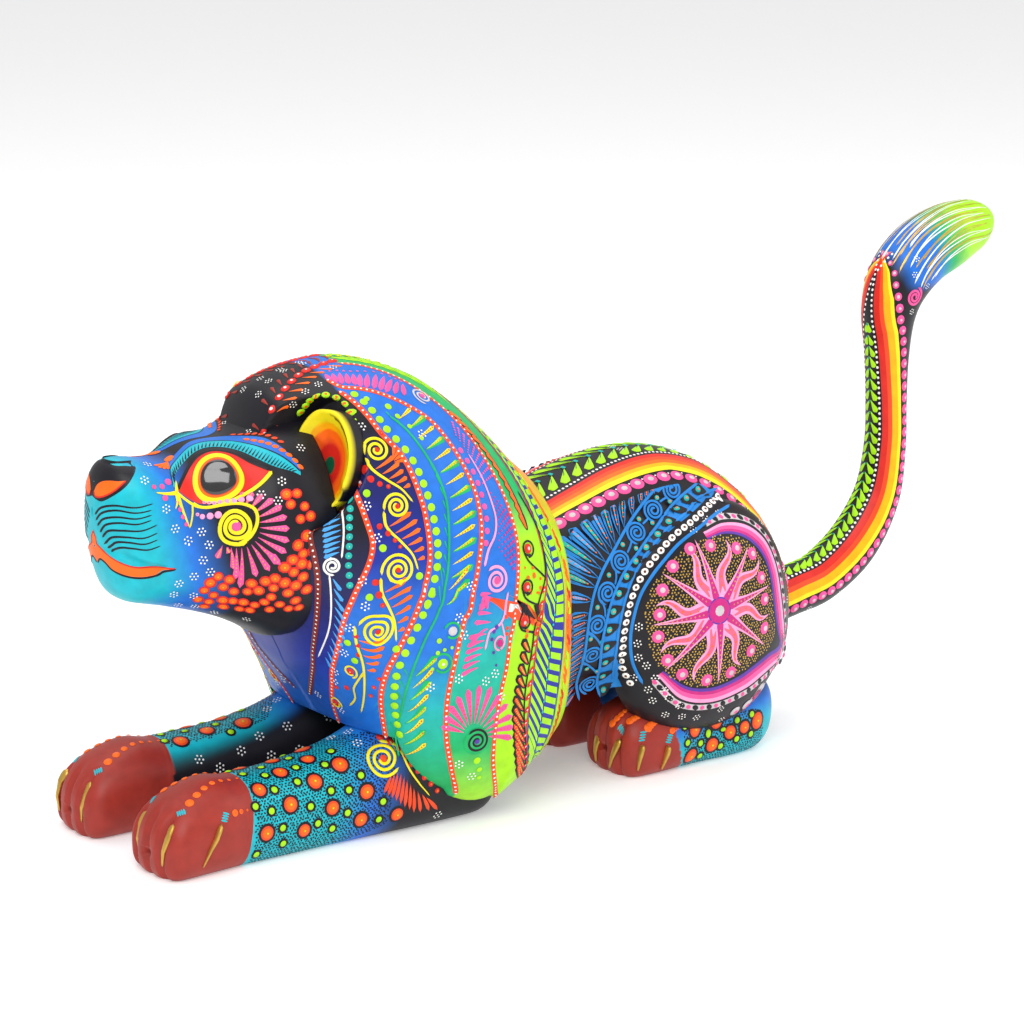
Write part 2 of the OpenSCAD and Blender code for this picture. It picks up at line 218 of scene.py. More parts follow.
# %% Carved surfaces
def carve_head(p):
    """Carving on the plain head: pushed in at the eye sockets, out at the brow, lips, chin and cheeks."""
    px, side, z = p[..., 0], np.abs(p[..., 1]), p[..., 2]
    out = np.zeros_like(px)
    out += 1.6 * bump(np.hypot((px + 176) / 13, (z - 151.5) / 4.5))  # brow
    out -= 2.2 * bump(np.hypot((px + 177) / 17, (z - 142.5) / 9.5))  # socket
    out += 2.6 * bump(np.hypot((px + 177) / 10.5, (z - 142.5) / 9))  # eyeball
    out += 1.3 * bump(np.hypot((px + 213) / 11, (z - 127) / 12))  # upper lip
    out -= 1.5 * bump((z - mouth_z(px)) / 2.2) * smooth_step(-px, 197, 202)  # mouth slit
    out += 1.2 * bump(np.hypot((px + 208) / 12, (z - 104) / 10))  # chin
    out += 1.5 * bump(np.hypot((px + 163) / 15, (z - 118) / 26))  # cheek
    out -= 1.1 * bump(np.hypot((px + 189) / 7, (z - 139) / 12))  # inner eye corner
    push = np.stack([np.zeros_like(px), p[..., 1] / 40, (z - 120) / 40], -1)
    push /= np.maximum(np.linalg.norm(push, axis=-1, keepdims=True), 1e-6)
    return p + push * out[..., None]


def head_at(x, turn):
    """The head: its loft with the carving of the face."""
    return carve_head(loft(HEAD, x, turn, cap0=9, e=2.6, plan=18))


def mouth_z(x):
    """Level of the mouth: it drops from the front notch and turns up a little at the corner."""
    back = np.clip((x + 219) / 20, 0, 1.2)
    return 121 - 13 * back + 3.5 * back ** 3


def mane_at(x, turn):
    """The mane: its loft, with tongues that overlap backwards near the skirt, each a sawtooth step in X."""
    p = loft(MANE, x, turn, cap0=14, e=2)
    low = smooth_step(np.abs(np.asarray(turn, float) - 90), 95, 150)
    tongue = ((p[..., 0] + 163) / 22) % 1
    step = (1 - tongue) * smooth_step(tongue, 0, 0.12)
    push = p - np.stack([p[..., 0], 0 * p[..., 1], along(MANE, 3, p[..., 0])], -1)
    push /= np.maximum(np.linalg.norm(push, axis=-1, keepdims=True), 1e-6)
    return into_pocket(p - push * (1.6 * low * (1 - step))[..., None])


def torso_at(x, turn):
    """The torso: its plain loft with the rounded rump."""
    return loft(TORSO, x, turn, cap1=34, e=2.2)


def paw_grooves(p, front, height):
    """Depth of the grooves between four toes: narrow valleys along X that fade out up the paw."""
    reach = 1 - smooth_step(p[..., 0], front + 6, front + 26)
    low = smooth_step(height - p[..., 2], 3, 14)
    groove = sum(bump((p[..., 1] - y) / 2.6) for y in (-8.6, 0, 8.6))
    return 2.4 * groove * reach * low


def foreleg_at(x, turn):
    """The left foreleg: its loft with toe grooves, turned outwards about the elbow and set at its place."""
    p = loft(FORELEG, x, turn, cap0=10, cap1=16, e=3)
    p[..., 2] = np.maximum(p[..., 2], 0)
    cut = paw_grooves(p, -217.5, 32)
    p = p + np.stack([cut * 0.9, 0 * cut, -cut * 0.35 * (p[..., 2] > 0.3)], -1)
    dx = p[..., 0] - ELBOW_X
    y = p[..., 1] * math.cos(SPLAY) + dx * math.sin(SPLAY)
    x = ELBOW_X + dx * math.cos(SPLAY) - p[..., 1] * math.sin(SPLAY)
    return np.stack([x, y - LEG_Y, p[..., 2]], -1)


def hind_foot_at(x, turn):
    """The left hind foot: its loft with toe grooves."""
    p = loft(HIND_FOOT, x, turn, cap0=10, cap1=22, e=3)
    p[..., 2] = np.maximum(p[..., 2], 0)
    cut = paw_grooves(p, -4.5, 30)
    return p + np.stack([cut * 0.9, 0 * cut - LEG_Y, -cut * 0.35 * (p[..., 2] > 0.3)], -1)


def torso_side(x, z):
    """Half width of the torso at a place seen from the side, or a big negative number above or below it."""
    w, low, mid, high, square_low, square_top = (along(TORSO, c, x) for c in range(1, 7))
    k = opened(TORSO[-1][0] - x, 34, 2.2)
    height = np.where(z < mid, mid - low, high - mid) * k
    power = np.where(z < mid, square_low, square_top)
    inside = 1 - np.abs((z - mid) / np.maximum(height, 1e-6)) ** power
    return np.where(inside > 0, k * w * np.abs(inside) ** (1 / power), -40)


def smooth_max(a, b, blend):
    """The larger of a and b, with a fillet of that width where they cross."""
    h = np.clip(0.5 + 0.5 * (b - a) / blend, 0, 1)
    return a * (1 - h) + b * h + blend * h * (1 - h)


def haunch_at(reach, turn):
    """The left haunch seen from the side: reach runs from 0 at its middle to 1 at its outline, turn goes round it.
    Its height is a dome, blended into the torso's flank with a fillet."""
    reach, turn = np.broadcast_arrays(np.asarray(reach, float), np.asarray(turn, float))
    c, s = np.cos(np.radians(turn)), np.sin(np.radians(turn))
    x = HAUNCH["x"] + reach * HAUNCH["half_l"] * signed_power(c, 2 / HAUNCH["square"])
    z = HAUNCH["z"] + reach * HAUNCH["half_h"] * signed_power(s, 2 / HAUNCH["square"])
    return haunch_over(x, z)


def haunch_reach(x, z):
    """How far out a place is: 0 at the haunch's middle, 1 on its outline."""
    q = HAUNCH["square"]
    across, up = np.abs((x - HAUNCH["x"]) / HAUNCH["half_l"]), np.abs((z - HAUNCH["z"]) / HAUNCH["half_h"])
    return (across ** q + up ** q) ** (1 / q)


def haunch_over(x, z):
    """The left haunch's surface over a place (x, z) of its side view."""
    k = np.clip(haunch_reach(x, z), 0, 1)
    dome = HAUNCH["joint_y"] + (HAUNCH["out_y"] - HAUNCH["joint_y"]) * (1 - k ** HAUNCH["dome"]) ** (1 / HAUNCH["dome"])
    return np.stack([x, -smooth_max(torso_side(x, z), dome, 9), z], -1)


def tail_at(step, turn):
    """The tail: a circle carried along its path. step counts the path's points; turn 90 faces forwards and up."""
    step, turn = np.broadcast_arrays(np.asarray(step, float), np.asarray(turn, float))
    step = np.clip(step, 0, 14)
    a, b = np.clip(step - 0.02, 0, 14), np.clip(step + 0.02, 0, 14)
    dx, dz = along(TAIL, 1, b) - along(TAIL, 1, a), along(TAIL, 2, b) - along(TAIL, 2, a)
    length = np.hypot(dx, dz)
    r = along(TAIL, 3, step) * np.sqrt(np.clip(1 - np.clip(step - 13, 0, 1) ** 2, 0, 1))
    c, s = np.cos(np.radians(turn)), np.sin(np.radians(turn))
    return np.stack([along(TAIL, 1, step) - r * s * dz / length, r * c, along(TAIL, 2, step) + r * s * dx / length],
                    -1)


# %% [markdown]
# ## Drawing on a curved block
# The painter turns the figure in the hand and draws on it as if it were flat. A drawing surface here does the same:
# it takes flat coordinates in millimetres and gives the place on the block. For a block along X, the first number
# is X and the second is the distance walked down the side from the top line, so a dot drawn round stays round.

# %% Drawing surfaces
class Wrap:
    """Flat sheet wrapped round a block: p is X and q the distance walked down the left side from the top line."""

    def __init__(self, surface, low, high):
        self.surface, self.low, self.high = surface, low, high
        x = np.linspace(low, high, 100)
        turn = np.linspace(90, 270, 361)
        grid = surface(x[:, None], turn[None, :])
        walked = np.cumsum(np.linalg.norm(np.diff(grid, axis=1), axis=-1), axis=1)
        walked = np.concatenate([np.zeros((100, 1)), walked], axis=1)
        self.length = walked[:, -1]
        self.reach = float(self.length.max())
        self.q = np.linspace(0, self.reach, 300)
        self.turn = np.stack([np.interp(self.q, row, turn) for row in walked])

    def turn_of(self, p, q):
        """The turn at flat coordinates, from the table by bilinear interpolation; above the top line it mirrors."""
        i = np.clip((p - self.low) / (self.high - self.low) * 99, 0, 98.999)
        j = np.clip(np.abs(q) / self.reach * 299, 0, 298.999)
        a, b = i.astype(int), j.astype(int)
        u, v = i - a, j - b
        t = self.turn
        turn = (1 - u) * ((1 - v) * t[a, b] + v * t[a, b + 1]) + u * ((1 - v) * t[a + 1, b] + v * t[a + 1, b + 1])
        return 90 + np.sign(q) * (turn - 90)

    def __call__(self, p, q):
        p, q = np.broadcast_arrays(np.asarray(p, float), np.asarray(q, float))
        return self.surface(p, self.turn_of(p, q))


on_head = Wrap(head_at, -219.3, -139)
on_mane = Wrap(mane_at, -162.8, -40.2)
on_torso = Wrap(torso_at, -58, 95.3)
on_foreleg = Wrap(foreleg_at, -217.3, -64.2)
on_hind_foot = Wrap(hind_foot_at, -4.3, 77.8)


class FrontWrap:
    """Flat sheet wrapped round the front of the head: p is the distance walked from the middle plane round the left side
    at one level, and q the distance below the level 152."""

    def __init__(self):
        self.z = np.linspace(90, 151, 123)[:, None]
        x = -219.5 + 60 * np.linspace(0, 1, 700)[None, :] ** 2.2
        w, low, mid, high, square_low, square_top = (along(HEAD, c, x) for c in range(1, 7))
        k, wide = opened(x + 219.5, 9, 2.6), opened(x + 219.5, 18, 2.2)
        height = np.maximum(np.where(self.z < mid, mid - low, high - mid) * k, 1e-6)
        power = np.where(self.z < mid, square_low, square_top)
        y = wide * w * np.clip(1 - np.abs((self.z - mid) / height) ** power, 0, 1) ** (1 / power)
        walked = np.cumsum(np.hypot(np.diff(x, prepend=x[:, :1]), np.diff(y, axis=1, prepend=0 * y[:, :1])), axis=1)
        self.p = np.linspace(0, 70, 281)
        self.x = np.stack([np.interp(self.p, row, x[0]) for row in walked - self.start(x[0], y)])
        self.y = np.stack([np.interp(self.p, row, side) for row, side in zip(walked - self.start(x[0], y), y)])

    @staticmethod
    def start(x, y):
        """The length of the empty stretch in front of the block at each level."""
        first = np.argmax(y > 0, axis=1)
        return (x[np.maximum(first - 1, 0)] - x[0])[:, None]

    def __call__(self, p, q):
        p, q = np.broadcast_arrays(np.asarray(p, float), np.asarray(q, float))
        i = np.clip((152 - q - 90) / 0.5, 0, 121.999)
        j = np.clip(np.abs(p) / 0.25, 0, 279.999)
        a, b = i.astype(int), j.astype(int)
        u, v = i - a, j - b
        x, y = (((1 - u) * ((1 - v) * t[a, b] + v * t[a, b + 1]) + u * ((1 - v) * t[a + 1, b] + v * t[a + 1, b + 1]))
                for t in (self.x, self.y))
        return carve_head(np.stack([x, -np.sign(p) * y, 152 - q], -1))


on_muzzle = FrontWrap()
tail_steps = np.linspace(0, 14, 400)
tail_walk = np.cumsum(np.hypot(np.diff(along(TAIL, 1, tail_steps), prepend=86),
                               np.diff(along(TAIL, 2, tail_steps), prepend=48.4)))


def on_tail(p, q):
    """The tail: p is the distance walked along its middle line and q the distance round from its front line."""
    step = np.interp(p, tail_walk, tail_steps)
    return tail_at(step, 90 + np.degrees(q / along(TAIL, 3, step)))


flank_x = np.linspace(-57, 94, 120)
flank_top = on_torso(flank_x, np.full(120, 30.5))[:, 2]


def on_haunch(p, q):
    """The haunch and the flank in side view: p is X and q the distance below Z 110, held under the pearls of the back."""
    return haunch_over(p, np.minimum(110 - q, np.interp(p, flank_x, flank_top)))


print("longest way down the mane:", round(on_mane.reach, 1), "mm; along the tail:",
      round(float(tail_walk[-1]), 1), "mm")

# %% [markdown]
# ## Paint
# The painter uses ordinary acrylic craft paint, mixed thick, and a thin coat of varnish at the end. Acrylic dries
# to an even satin film: strong colour, a soft highlight and very fine brush marks. One colour is still never quite
# even, because the paint is laid by hand in one or two coats, so each material lets the tone drift a little over a
# few millimetres. The large grounds fade from one colour into the next; they read their colour from an attribute
# that every mesh carries.

# %% Colours and one node helper
def linear(hex_colour):
    """Linear RGBA of a #rrggbb colour: each sRGB channel goes through the sRGB curve."""
    v = np.array([int(hex_colour[i:i + 2], 16) for i in (1, 3, 5)]) / 255
    v = np.where(v <= 0.04045, v / 12.92, ((v + 0.055) / 1.055) ** 2.4)
    return [float(c) for c in v] + [1.0]


PAINT = dict(
    black="#17151c", navy="#1b1f5e", deep_blue="#1c2f9a", blue="#1f6fd0", sky="#4aa3e8", turquoise="#12b5c4",
    teal="#18b0a8", green="#12b060", dark_green="#0c5a3c", lime="#a6e50f", yellow="#f4e11a", amber="#ffb000",
    orange="#ff6a13", coral="#f04a1e", red="#d8261c", brick="#9c3228", rust="#7e2a22", pink="#f0549a",
    rose="#f9a0cc", magenta="#c8247e", violet="#5a35a0", white="#f4f2ee", pearl="#c9c2c4", gold="#c9a24a",
    brown="#6b3a26", bronze="#8d7434", azure="#1b7fd0", salmon="#ff6480")


def add_node(tree, kind, inputs=None, **settings):
    """Adds a node, sets its properties and fills its inputs; an input given as a socket is linked."""
    made = tree.nodes.new(kind)
    for name, value in settings.items():
        setattr(made, name, value)
    for name, value in (inputs or {}).items():
        if isinstance(value, bpy.types.NodeSocket):
            tree.links.new(value, made.inputs[name])
        else:
            made.inputs[name].default_value = value
    return made


def new_material(name):
    """An empty node material: its tree and its output node."""
    material = bpy.data.materials.new(name)
    material.use_nodes = True
    material.node_tree.nodes.clear()
    return material, material.node_tree, add_node(material.node_tree, "ShaderNodeOutputMaterial")


# %% Acrylic paint
def acrylic(name, colour=None, roughness=0.45, coat=0.05, drift=0.10, metal=0.0):
    """Craft acrylic under satin varnish. Without a colour it reads the mesh's own 'ground' attribute.
    The tone drifts over 5 mm, and brush marks 0.5 mm apart give a very slight bump, drawn a little coarse to show."""
    material, tree, out = new_material(name)
    place = add_node(tree, "ShaderNodeTexCoord").outputs["Object"]
    patch = add_node(tree, "ShaderNodeTexNoise", {"Vector": place, "Scale": 1 / (5 * MM), "Detail": 3.0})
    marks = add_node(tree, "ShaderNodeTexNoise", {"Vector": place, "Scale": 1 / (0.5 * MM), "Detail": 2.0})
    tone = add_node(tree, "ShaderNodeMapRange", {"Value": patch.outputs["Fac"], "From Min": 0.3, "From Max": 0.7,
                                                 "To Min": 1 - drift, "To Max": 1 + drift})
    base = linear(PAINT[colour]) if colour else add_node(tree, "ShaderNodeVertexColor",
                                                         layer_name="ground").outputs["Color"]
    mixed = add_node(tree, "ShaderNodeHueSaturation", {"Color": base, "Value": tone.outputs["Result"]})
    film = add_node(tree, "ShaderNodeBump", {"Height": marks.outputs["Fac"], "Distance": 0.03 * MM, "Strength": 0.35})
    shader = add_node(tree, "ShaderNodeBsdfPrincipled", {
        "Base Color": mixed.outputs["Color"], "Roughness": roughness, "Metallic": metal, "IOR": 1.46,
                                                         "Specular IOR Level": 0.3,
        "Coat Weight": coat, "Coat Roughness": 0.25, "Normal": film.outputs["Normal"]})
    tree.links.new(shader.outputs["BSDF"], out.inputs["Surface"])
    return material


paints = {name: acrylic("acrylic_" + name, name) for name in PAINT}
paints["gold"] = acrylic("gold_paint", "gold", roughness=0.38, coat=0.1, metal=0.75)
paints["gloss_black"] = None
ground_paint = acrylic("acrylic_ground", roughness=0.42)
print(len(paints), "colours mixed")

# %% Glossy eye and bare copal wood
gloss, tree, out = new_material("gloss_varnish_black")
place = add_node(tree, "ShaderNodeTexCoord").outputs["Object"]
cloud = add_node(tree, "ShaderNodeTexNoise", {"Vector": place, "Scale": 1 / (6 * MM), "Detail": 2.0})
deep = add_node(tree, "ShaderNodeMapRange", {"Value": cloud.outputs["Fac"], "To Min": 0.003, "To Max": 0.012})
dark = add_node(tree, "ShaderNodeCombineColor", {"Red": deep.outputs["Result"], "Green": deep.outputs["Result"],
                                                 "Blue": deep.outputs["Result"]})
shader = add_node(tree, "ShaderNodeBsdfPrincipled", {"Base Color": dark.outputs["Color"], "Roughness": 0.12,
                                                     "IOR": 1.5, "Coat Weight": 1.0, "Coat Roughness": 0.04})
tree.links.new(shader.outputs["BSDF"], out.inputs["Surface"])
paints["gloss_black"] = gloss


def copal_wood():
    """Sanded copal wood: pale, soft and nearly without figure. Year rings about 2.5 mm apart run along X as long streaks,
    with pores 0.4 mm wide; bare wood is matt."""
    material, tree, out = new_material("sanded_copal_wood")
    place = add_node(tree, "ShaderNodeTexCoord").outputs["Object"]
    grain = add_node(tree, "ShaderNodeMapping", {"Vector": place, "Scale": (0.08, 1, 1)}).outputs["Vector"]
    rings = add_node(tree, "ShaderNodeTexNoise", {"Vector": grain, "Scale": 1 / (2.5 * MM), "Detail": 4.0})
    pores = add_node(tree, "ShaderNodeTexNoise", {"Vector": grain, "Scale": 1 / (0.4 * MM), "Detail": 1.0})
    tone = add_node(tree, "ShaderNodeValToRGB", {"Fac": rings.outputs["Fac"]})
    tone.color_ramp.elements[0].color, tone.color_ramp.elements[0].position = linear("#c49f68"), 0.35
    tone.color_ramp.elements[1].color, tone.color_ramp.elements[1].position = linear("#e4cc9c"), 0.65
    fibre = add_node(tree, "ShaderNodeBump", {"Height": pores.outputs["Fac"], "Distance": 0.05 * MM, "Strength": 0.5})
    shader = add_node(tree, "ShaderNodeBsdfPrincipled", {"Base Color": tone.outputs["Color"], "Roughness": 0.72,
                                                         "IOR": 1.45, "Normal": fibre.outputs["Normal"]})
    tree.links.new(shader.outputs["BSDF"], out.inputs["Surface"])
    return material


bare_wood = copal_wood()
for name, cad_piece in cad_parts.items():
    cad_piece.data.materials.clear()
    cad_piece.data.materials.append(bare_wood)
print("bare wood on", len(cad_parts), "frame pieces; only the dowels stay visible")

# %% [markdown]
# ## From a grid of points to a block
# A block is a stack of closed rings. Joining each ring to the next and each end ring to its own middle closes the
# skin. The colours of a ground are worked out for every point and stored on the mesh, so they fade as softly as a
# dry brush does.

# %% Mesh builders
def new_piece(name, points, faces, material, slot, body="figure", node=None, ground=None, wood=None):
    """A smooth piece at the origin from points in millimetres and triangles. wood marks the triangles of bare wood."""
    mesh = bpy.data.meshes.new(name)
    mesh.vertices.add(len(points))
    mesh.vertices.foreach_set("co", (points * MM).astype(np.float32).ravel())
    mesh.loops.add(faces.size)
    mesh.loops.foreach_set("vertex_index", faces.astype(np.int32).ravel())
    mesh.polygons.add(len(faces))
    mesh.polygons.foreach_set("loop_start", np.arange(0, faces.size, 3, dtype=np.int32))
    mesh.polygons.foreach_set("use_smooth", np.ones(len(faces), bool))
    mesh.materials.append(material)
    if wood is not None:
        mesh.materials.append(bare_wood)
        mesh.polygons.foreach_set("material_index", wood.astype(np.int32))
    if ground is not None:
        layer = mesh.color_attributes.new("ground", "FLOAT_COLOR", "POINT")
        layer.data.foreach_set("color", np.concatenate([ground, np.ones((len(ground), 1))],
                                                       1).astype(np.float32).ravel())
    mesh.update(calc_edges=True)
    mesh.validate()
    piece = bpy.data.objects.new(name, mesh)
    bpy.context.scene.collection.objects.link(piece)
    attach(piece, body)
    if node:
        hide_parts(node)
    return piece


def skin(rings):
    """Points and triangles of a closed block from a stack of closed rings, with a middle point at each end."""
    m, n = rings.shape[:2]
    i, j = np.meshgrid(np.arange(m - 1), np.arange(n), indexing="ij")
    a, b = i * n + j, i * n + (j + 1) % n
    c, d = b + n, a + n
    side = np.concatenate([np.stack([a, b, c], -1).reshape(-1, 3), np.stack([a, c, d], -1).reshape(-1, 3)])
    j = np.arange(n)
    first = np.stack([np.full(n, m * n), (j + 1) % n, j], -1)
    last = np.stack([np.full(n, m * n + 1), (m - 1) * n + j, (m - 1) * n + (j + 1) % n], -1)
    points = np.concatenate([rings.reshape(-1, 3), [rings[0].mean(0)], [rings[-1].mean(0)]])
    return points, np.concatenate([side, first, last])


def mirrored(points, faces):
    """The same skin on the other side of the middle plane, with its faces turned to keep pointing outwards."""
    return points * [1, -1, 1], faces[:, ::-1]


def fade(value, *stops):
    """Linear colours that fade through (value, colour name) stops."""
    at = [s[0] for s in stops]
    colours = np.array([linear(PAINT[s[1]])[:3] for s in stops])
    return np.stack([np.interp(value, at, colours[:, c]) for c in range(3)], -1)


def plain(points, colour):
    """The same colour at every point."""
    return fade(points[..., 0], (0, colour), (1, colour))


def mix(first, second, share):
    """Colours between two sets of colours; share is 0 for the first and 1 for the second."""
    return first + (second - first) * np.asarray(share)[..., None]


# %% [markdown]
# ## Carved blocks
# The head goes into the mane's socket, the forelegs come out of a channel under it, and the torso carries a round
# seat and a square mortise for the tail. The mane and the torso are drawn as outlines that turn the corner into
# those openings.

# %% Head
def head_ground(p):
    """Turquoise muzzle that fades to blue and then black behind the mouth; the chin starts in teal."""
    x, z = p[..., 0], p[..., 2]
    muzzle = fade(x + 0.25 * (z - 125), (-219, "turquoise"), (-205, "turquoise"), (-192, "blue"), (-180, "black"))
    chin = fade(x, (-219, "teal"), (-206, "turquoise"), (-190, "blue"), (-172, "black"))
    return mix(muzzle, chin, smooth_step(-z, -104, -98))


x_head = np.concatenate([-219.5 + 12 * np.linspace(0, 1, 40) ** 1.8, np.linspace(-207, -139, 90)])
turn_head = np.linspace(0, 360, 280, endpoint=False)
rings = head_at(x_head[:, None], turn_head[None, :])
points, faces = skin(rings)
new_piece("head_block", points, faces, ground_paint, "face_paint", node="head", ground=head_ground(points))
print("head:", len(faces), "triangles")

# %% Mane
CHANNEL_Y, CHANNEL_TOP, CHANNEL_BACK = 47, 40, -58


def mane_half(x, share):
    """Half of the mane's section at x: share 0-1 goes down the outside to the channel, 1-2 up its wall, 2-3 across its
    ceiling to the middle plane."""
    turn = np.linspace(90, 270, 721)
    outline = mane_at(x, turn)
    inside = (np.abs(outline[:, 1]) < CHANNEL_Y) & (outline[:, 2] < CHANNEL_TOP) & (x < CHANNEL_BACK)
    stop = int(np.argmax(inside)) if inside.any() else 720
    outer = mane_at(x, np.interp(share[share <= 1], [0, 1], [90, turn[stop]]))
    end = outline[stop]
    top = np.array([x, end[1], max(end[2], CHANNEL_TOP) if inside.any() else end[2]])
    wall = end + (top - end) * (share[(share > 1) & (share <= 2)] - 1)[:, None]
    middle = np.array([x, 0, top[2]])
    roof = top + (middle - top) * (share[share > 2] - 2)[:, None]
    turns = np.interp(share, [0, 1], [90, turn[stop]])
    return np.concatenate([outer, wall, roof]), turns


share = np.concatenate([np.linspace(0, 1, 230), np.linspace(1, 2, 8)[1:], np.linspace(2, 3, 10)[1:]])
x_mane = np.sort(np.concatenate([-163 + 14 * np.linspace(0, 1, 18) ** 1.7, np.linspace(-148, -42, 112),
                                 [-58.01, -57.99]]))
halves = [mane_half(x, share) for x in x_mane]
half, turns = np.stack([h[0] for h in halves]), np.stack([h[1] for h in halves])
rings = np.concatenate([half, half[:, -2:0:-1] * [1, -1, 1]], axis=1)
mane_turn = np.concatenate([turns, turns[:, -2:0:-1]], axis=1)
mane_skin = skin(rings)
print("mane:", len(mane_skin[1]), "triangles")

# %% Torso with the tail's seat
TAIL_AXIS = np.array([math.cos(math.radians(10)), 0, math.sin(math.radians(10))])
TAIL_FOOT = np.array([86, 0, 48.4])
SEAT_R, MORTISE = 11, 5.65


def to_seat(p):
    """Distance from the tail's axis and the angle round it."""
    d = p - TAIL_FOOT
    d = d - (d @ TAIL_AXIS)[..., None] * TAIL_AXIS
    up = np.array([-TAIL_AXIS[2], 0, TAIL_AXIS[0]])
    return np.linalg.norm(d, axis=-1), np.arctan2(d @ up, d[..., 1])


def round_axis(angle, radius, depth):
    """Points at an angle and radius round the tail's axis, depth behind its seat."""
    up = np.array([-TAIL_AXIS[2], 0, TAIL_AXIS[0]])
    offset = np.cos(angle)[:, None] * np.array([0, 1, 0]) + np.sin(angle)[:, None] * up
    return TAIL_FOOT - depth * TAIL_AXIS + offset * np.asarray(radius)[..., None]


turn_torso = np.linspace(0, 360, 260, endpoint=False)
far = np.linspace(70, 95.49, 400)
away, _ = to_seat(torso_at(far[:, None], turn_torso[None, :]))
last_x = np.array([far[max(np.argmax(away[:, j] < SEAT_R) - 1, 0)] if (away[:, j] < SEAT_R).any() else 95.49
                   for j in range(len(turn_torso))])
steps = 1 - (1 - np.linspace(0, 1, 120)) ** 1.35
rings = torso_at(-60 + steps[:, None] * (last_x + 60)[None, :], turn_torso[None, :])
rings[..., 2] = np.where(rings[..., 0] > -14, np.maximum(rings[..., 2], 30), rings[..., 2])
angle = to_seat(rings[-1])[1]
square = MORTISE / np.maximum(np.abs(np.cos(angle)), np.abs(np.sin(angle)))
seat = [round_axis(angle, np.full_like(angle, SEAT_R), 0), round_axis(angle, square, 0),
        round_axis(angle, square, 12), round_axis(angle, square, 24.5)]
rings = np.concatenate([rings, seat])
points, faces = skin(rings)
bare = faces.min(1) >= len(steps) * len(turn_torso)


new_piece("torso_block", points, faces, ground_paint, "black_ground", node="torso",
          ground=plain(points, "black"), wood=bare)
print("torso:", len(faces), "triangles; seat radius", SEAT_R, "mm")

# %% Forelegs
def foreleg_ground(p):
    """Brick-red paw, then turquoise that turns blue and black towards the shoulder and on the inner side."""
    x, y, z = p[..., 0], np.abs(p[..., 1]), p[..., 2]
    leg = fade(x - 0.25 * (z - 25), (-190, "turquoise"), (-142, "turquoise"), (-126, "blue"), (-110, "black"))
    inner = smooth_step(LEG_Y + 1 - y, 7, 13)
    leg = mix(leg, plain(p, "black"), inner)
    return mix(leg, plain(p, "brick"), x + 0.14 * (44 - z) < -177)


x_leg = np.sort(np.concatenate([-217.5 + 10 * np.linspace(0, 1, 26) ** 1.8, np.linspace(-206.8, -80, 118),
                                -64 - 16 * np.linspace(0, 1, 12)[:-1] ** 2]))
turn_leg = np.linspace(0, 360, 170, endpoint=False)
points, faces = skin(foreleg_at(x_leg[:, None], turn_leg[None, :]))
colours = foreleg_ground(points)
new_piece("foreleg_block_left", points, faces, ground_paint, "leg_paint", node="foreleg_left", ground=colours)
new_piece("foreleg_block_right", *mirrored(points, faces), ground_paint, "leg_paint", node="foreleg_right",
          ground=colours)
print("forelegs:", len(faces), "triangles each")

# %% Hind legs
def hind_foot_ground(p):
    """Brick-red paw behind a slanting cuff, then turquoise that darkens upwards."""
    z = p[..., 2] - 0.1 * (p[..., 0] - 30)
    foot = fade(z, (0, "turquoise"), (9, "turquoise"), (18, "blue"), (26, "black"))
    return mix(foot, plain(p, "brick"), p[..., 0] + 0.33 * p[..., 2] < 24.5)


x_foot = np.concatenate([-4.5 + 10 * np.linspace(0, 1, 26) ** 1.8, np.linspace(6.3, 62, 60),
                         78 - 16 * (1 - np.linspace(0, 1, 14)[1:]) ** 2])
foot_points, foot_faces = skin(hind_foot_at(x_foot[:, None], turn_leg[None, :]))
reach = np.concatenate([[0.02], np.linspace(0, 1, 60)[1:] ** 0.75])
sheet = haunch_at(reach[:, None], -np.linspace(0, 360, 240, endpoint=False)[None, :])
inner = sheet[-1] * [1, 0, 1] - [0, 32.9, 0]
core = inner * 0.02 + inner.mean(0) * 0.98
haunch_points, haunch_faces = skin(np.concatenate([sheet, [inner], [core]])[::-1])
print("outer face of the haunch is", round(float(-haunch_points[:, 1].min()), 1), "mm from the middle plane")


for side, name in ((1, "left"), (-1, "right")):
    for part, pts, fcs, colour in (("foot", foot_points, foot_faces, hind_foot_ground(foot_points)),
                                   ("haunch", haunch_points, haunch_faces, plain(haunch_points, "black"))):
        if side < 0:
            pts, fcs = mirrored(pts, fcs)
        new_piece("hind_%s_block_%s" % (part, name), pts, fcs, ground_paint, "haunch_paint",
                  node="hind_leg_" + name, ground=colour)

# %% Tail with its tenon
def tail_ground(p):
    """Black; the tuft turns blue, green and lime towards its tip."""
    tuft = fade(p[..., 0] + 0.35 * (p[..., 2] - 190), (158, "black"), (165, "blue"), (178, "blue"), (188, "green"),
                (201, "lime"))
    return mix(plain(p, "black"), tuft, smooth_step(p[..., 2], 176, 182))


step_tail = np.concatenate([np.linspace(0, 13, 250), 13 + np.sin(np.linspace(0, math.pi / 2, 24))[1:] * 0.999])
points, faces = skin(tail_at(step_tail[:, None], np.linspace(0, 360, 90, endpoint=False)[None, ::-1]))
bare = faces.max(1) == len(points) - 2
new_piece("tail_block", points, faces, ground_paint, "tail_paint", "tail", node="tail",
          ground=tail_ground(points), wood=bare)
turned = np.radians(np.arange(-45, 315, 22.5))
square = 5.5 / np.maximum(np.abs(np.cos(turned)), np.abs(np.sin(turned)))
tenon = np.stack([round_axis(turned, square * k, depth) for k, depth in
                  ((0.8, 24), (0.97, 23.6), (1, 22.6), (1, 12), (1, 0.2), (1, -1))])
points, faces = skin(tenon)
new_piece("tail_tenon", points, faces, bare_wood, "bare_wood", "tail", node="tail")
print("tail tenon 11 mm square")

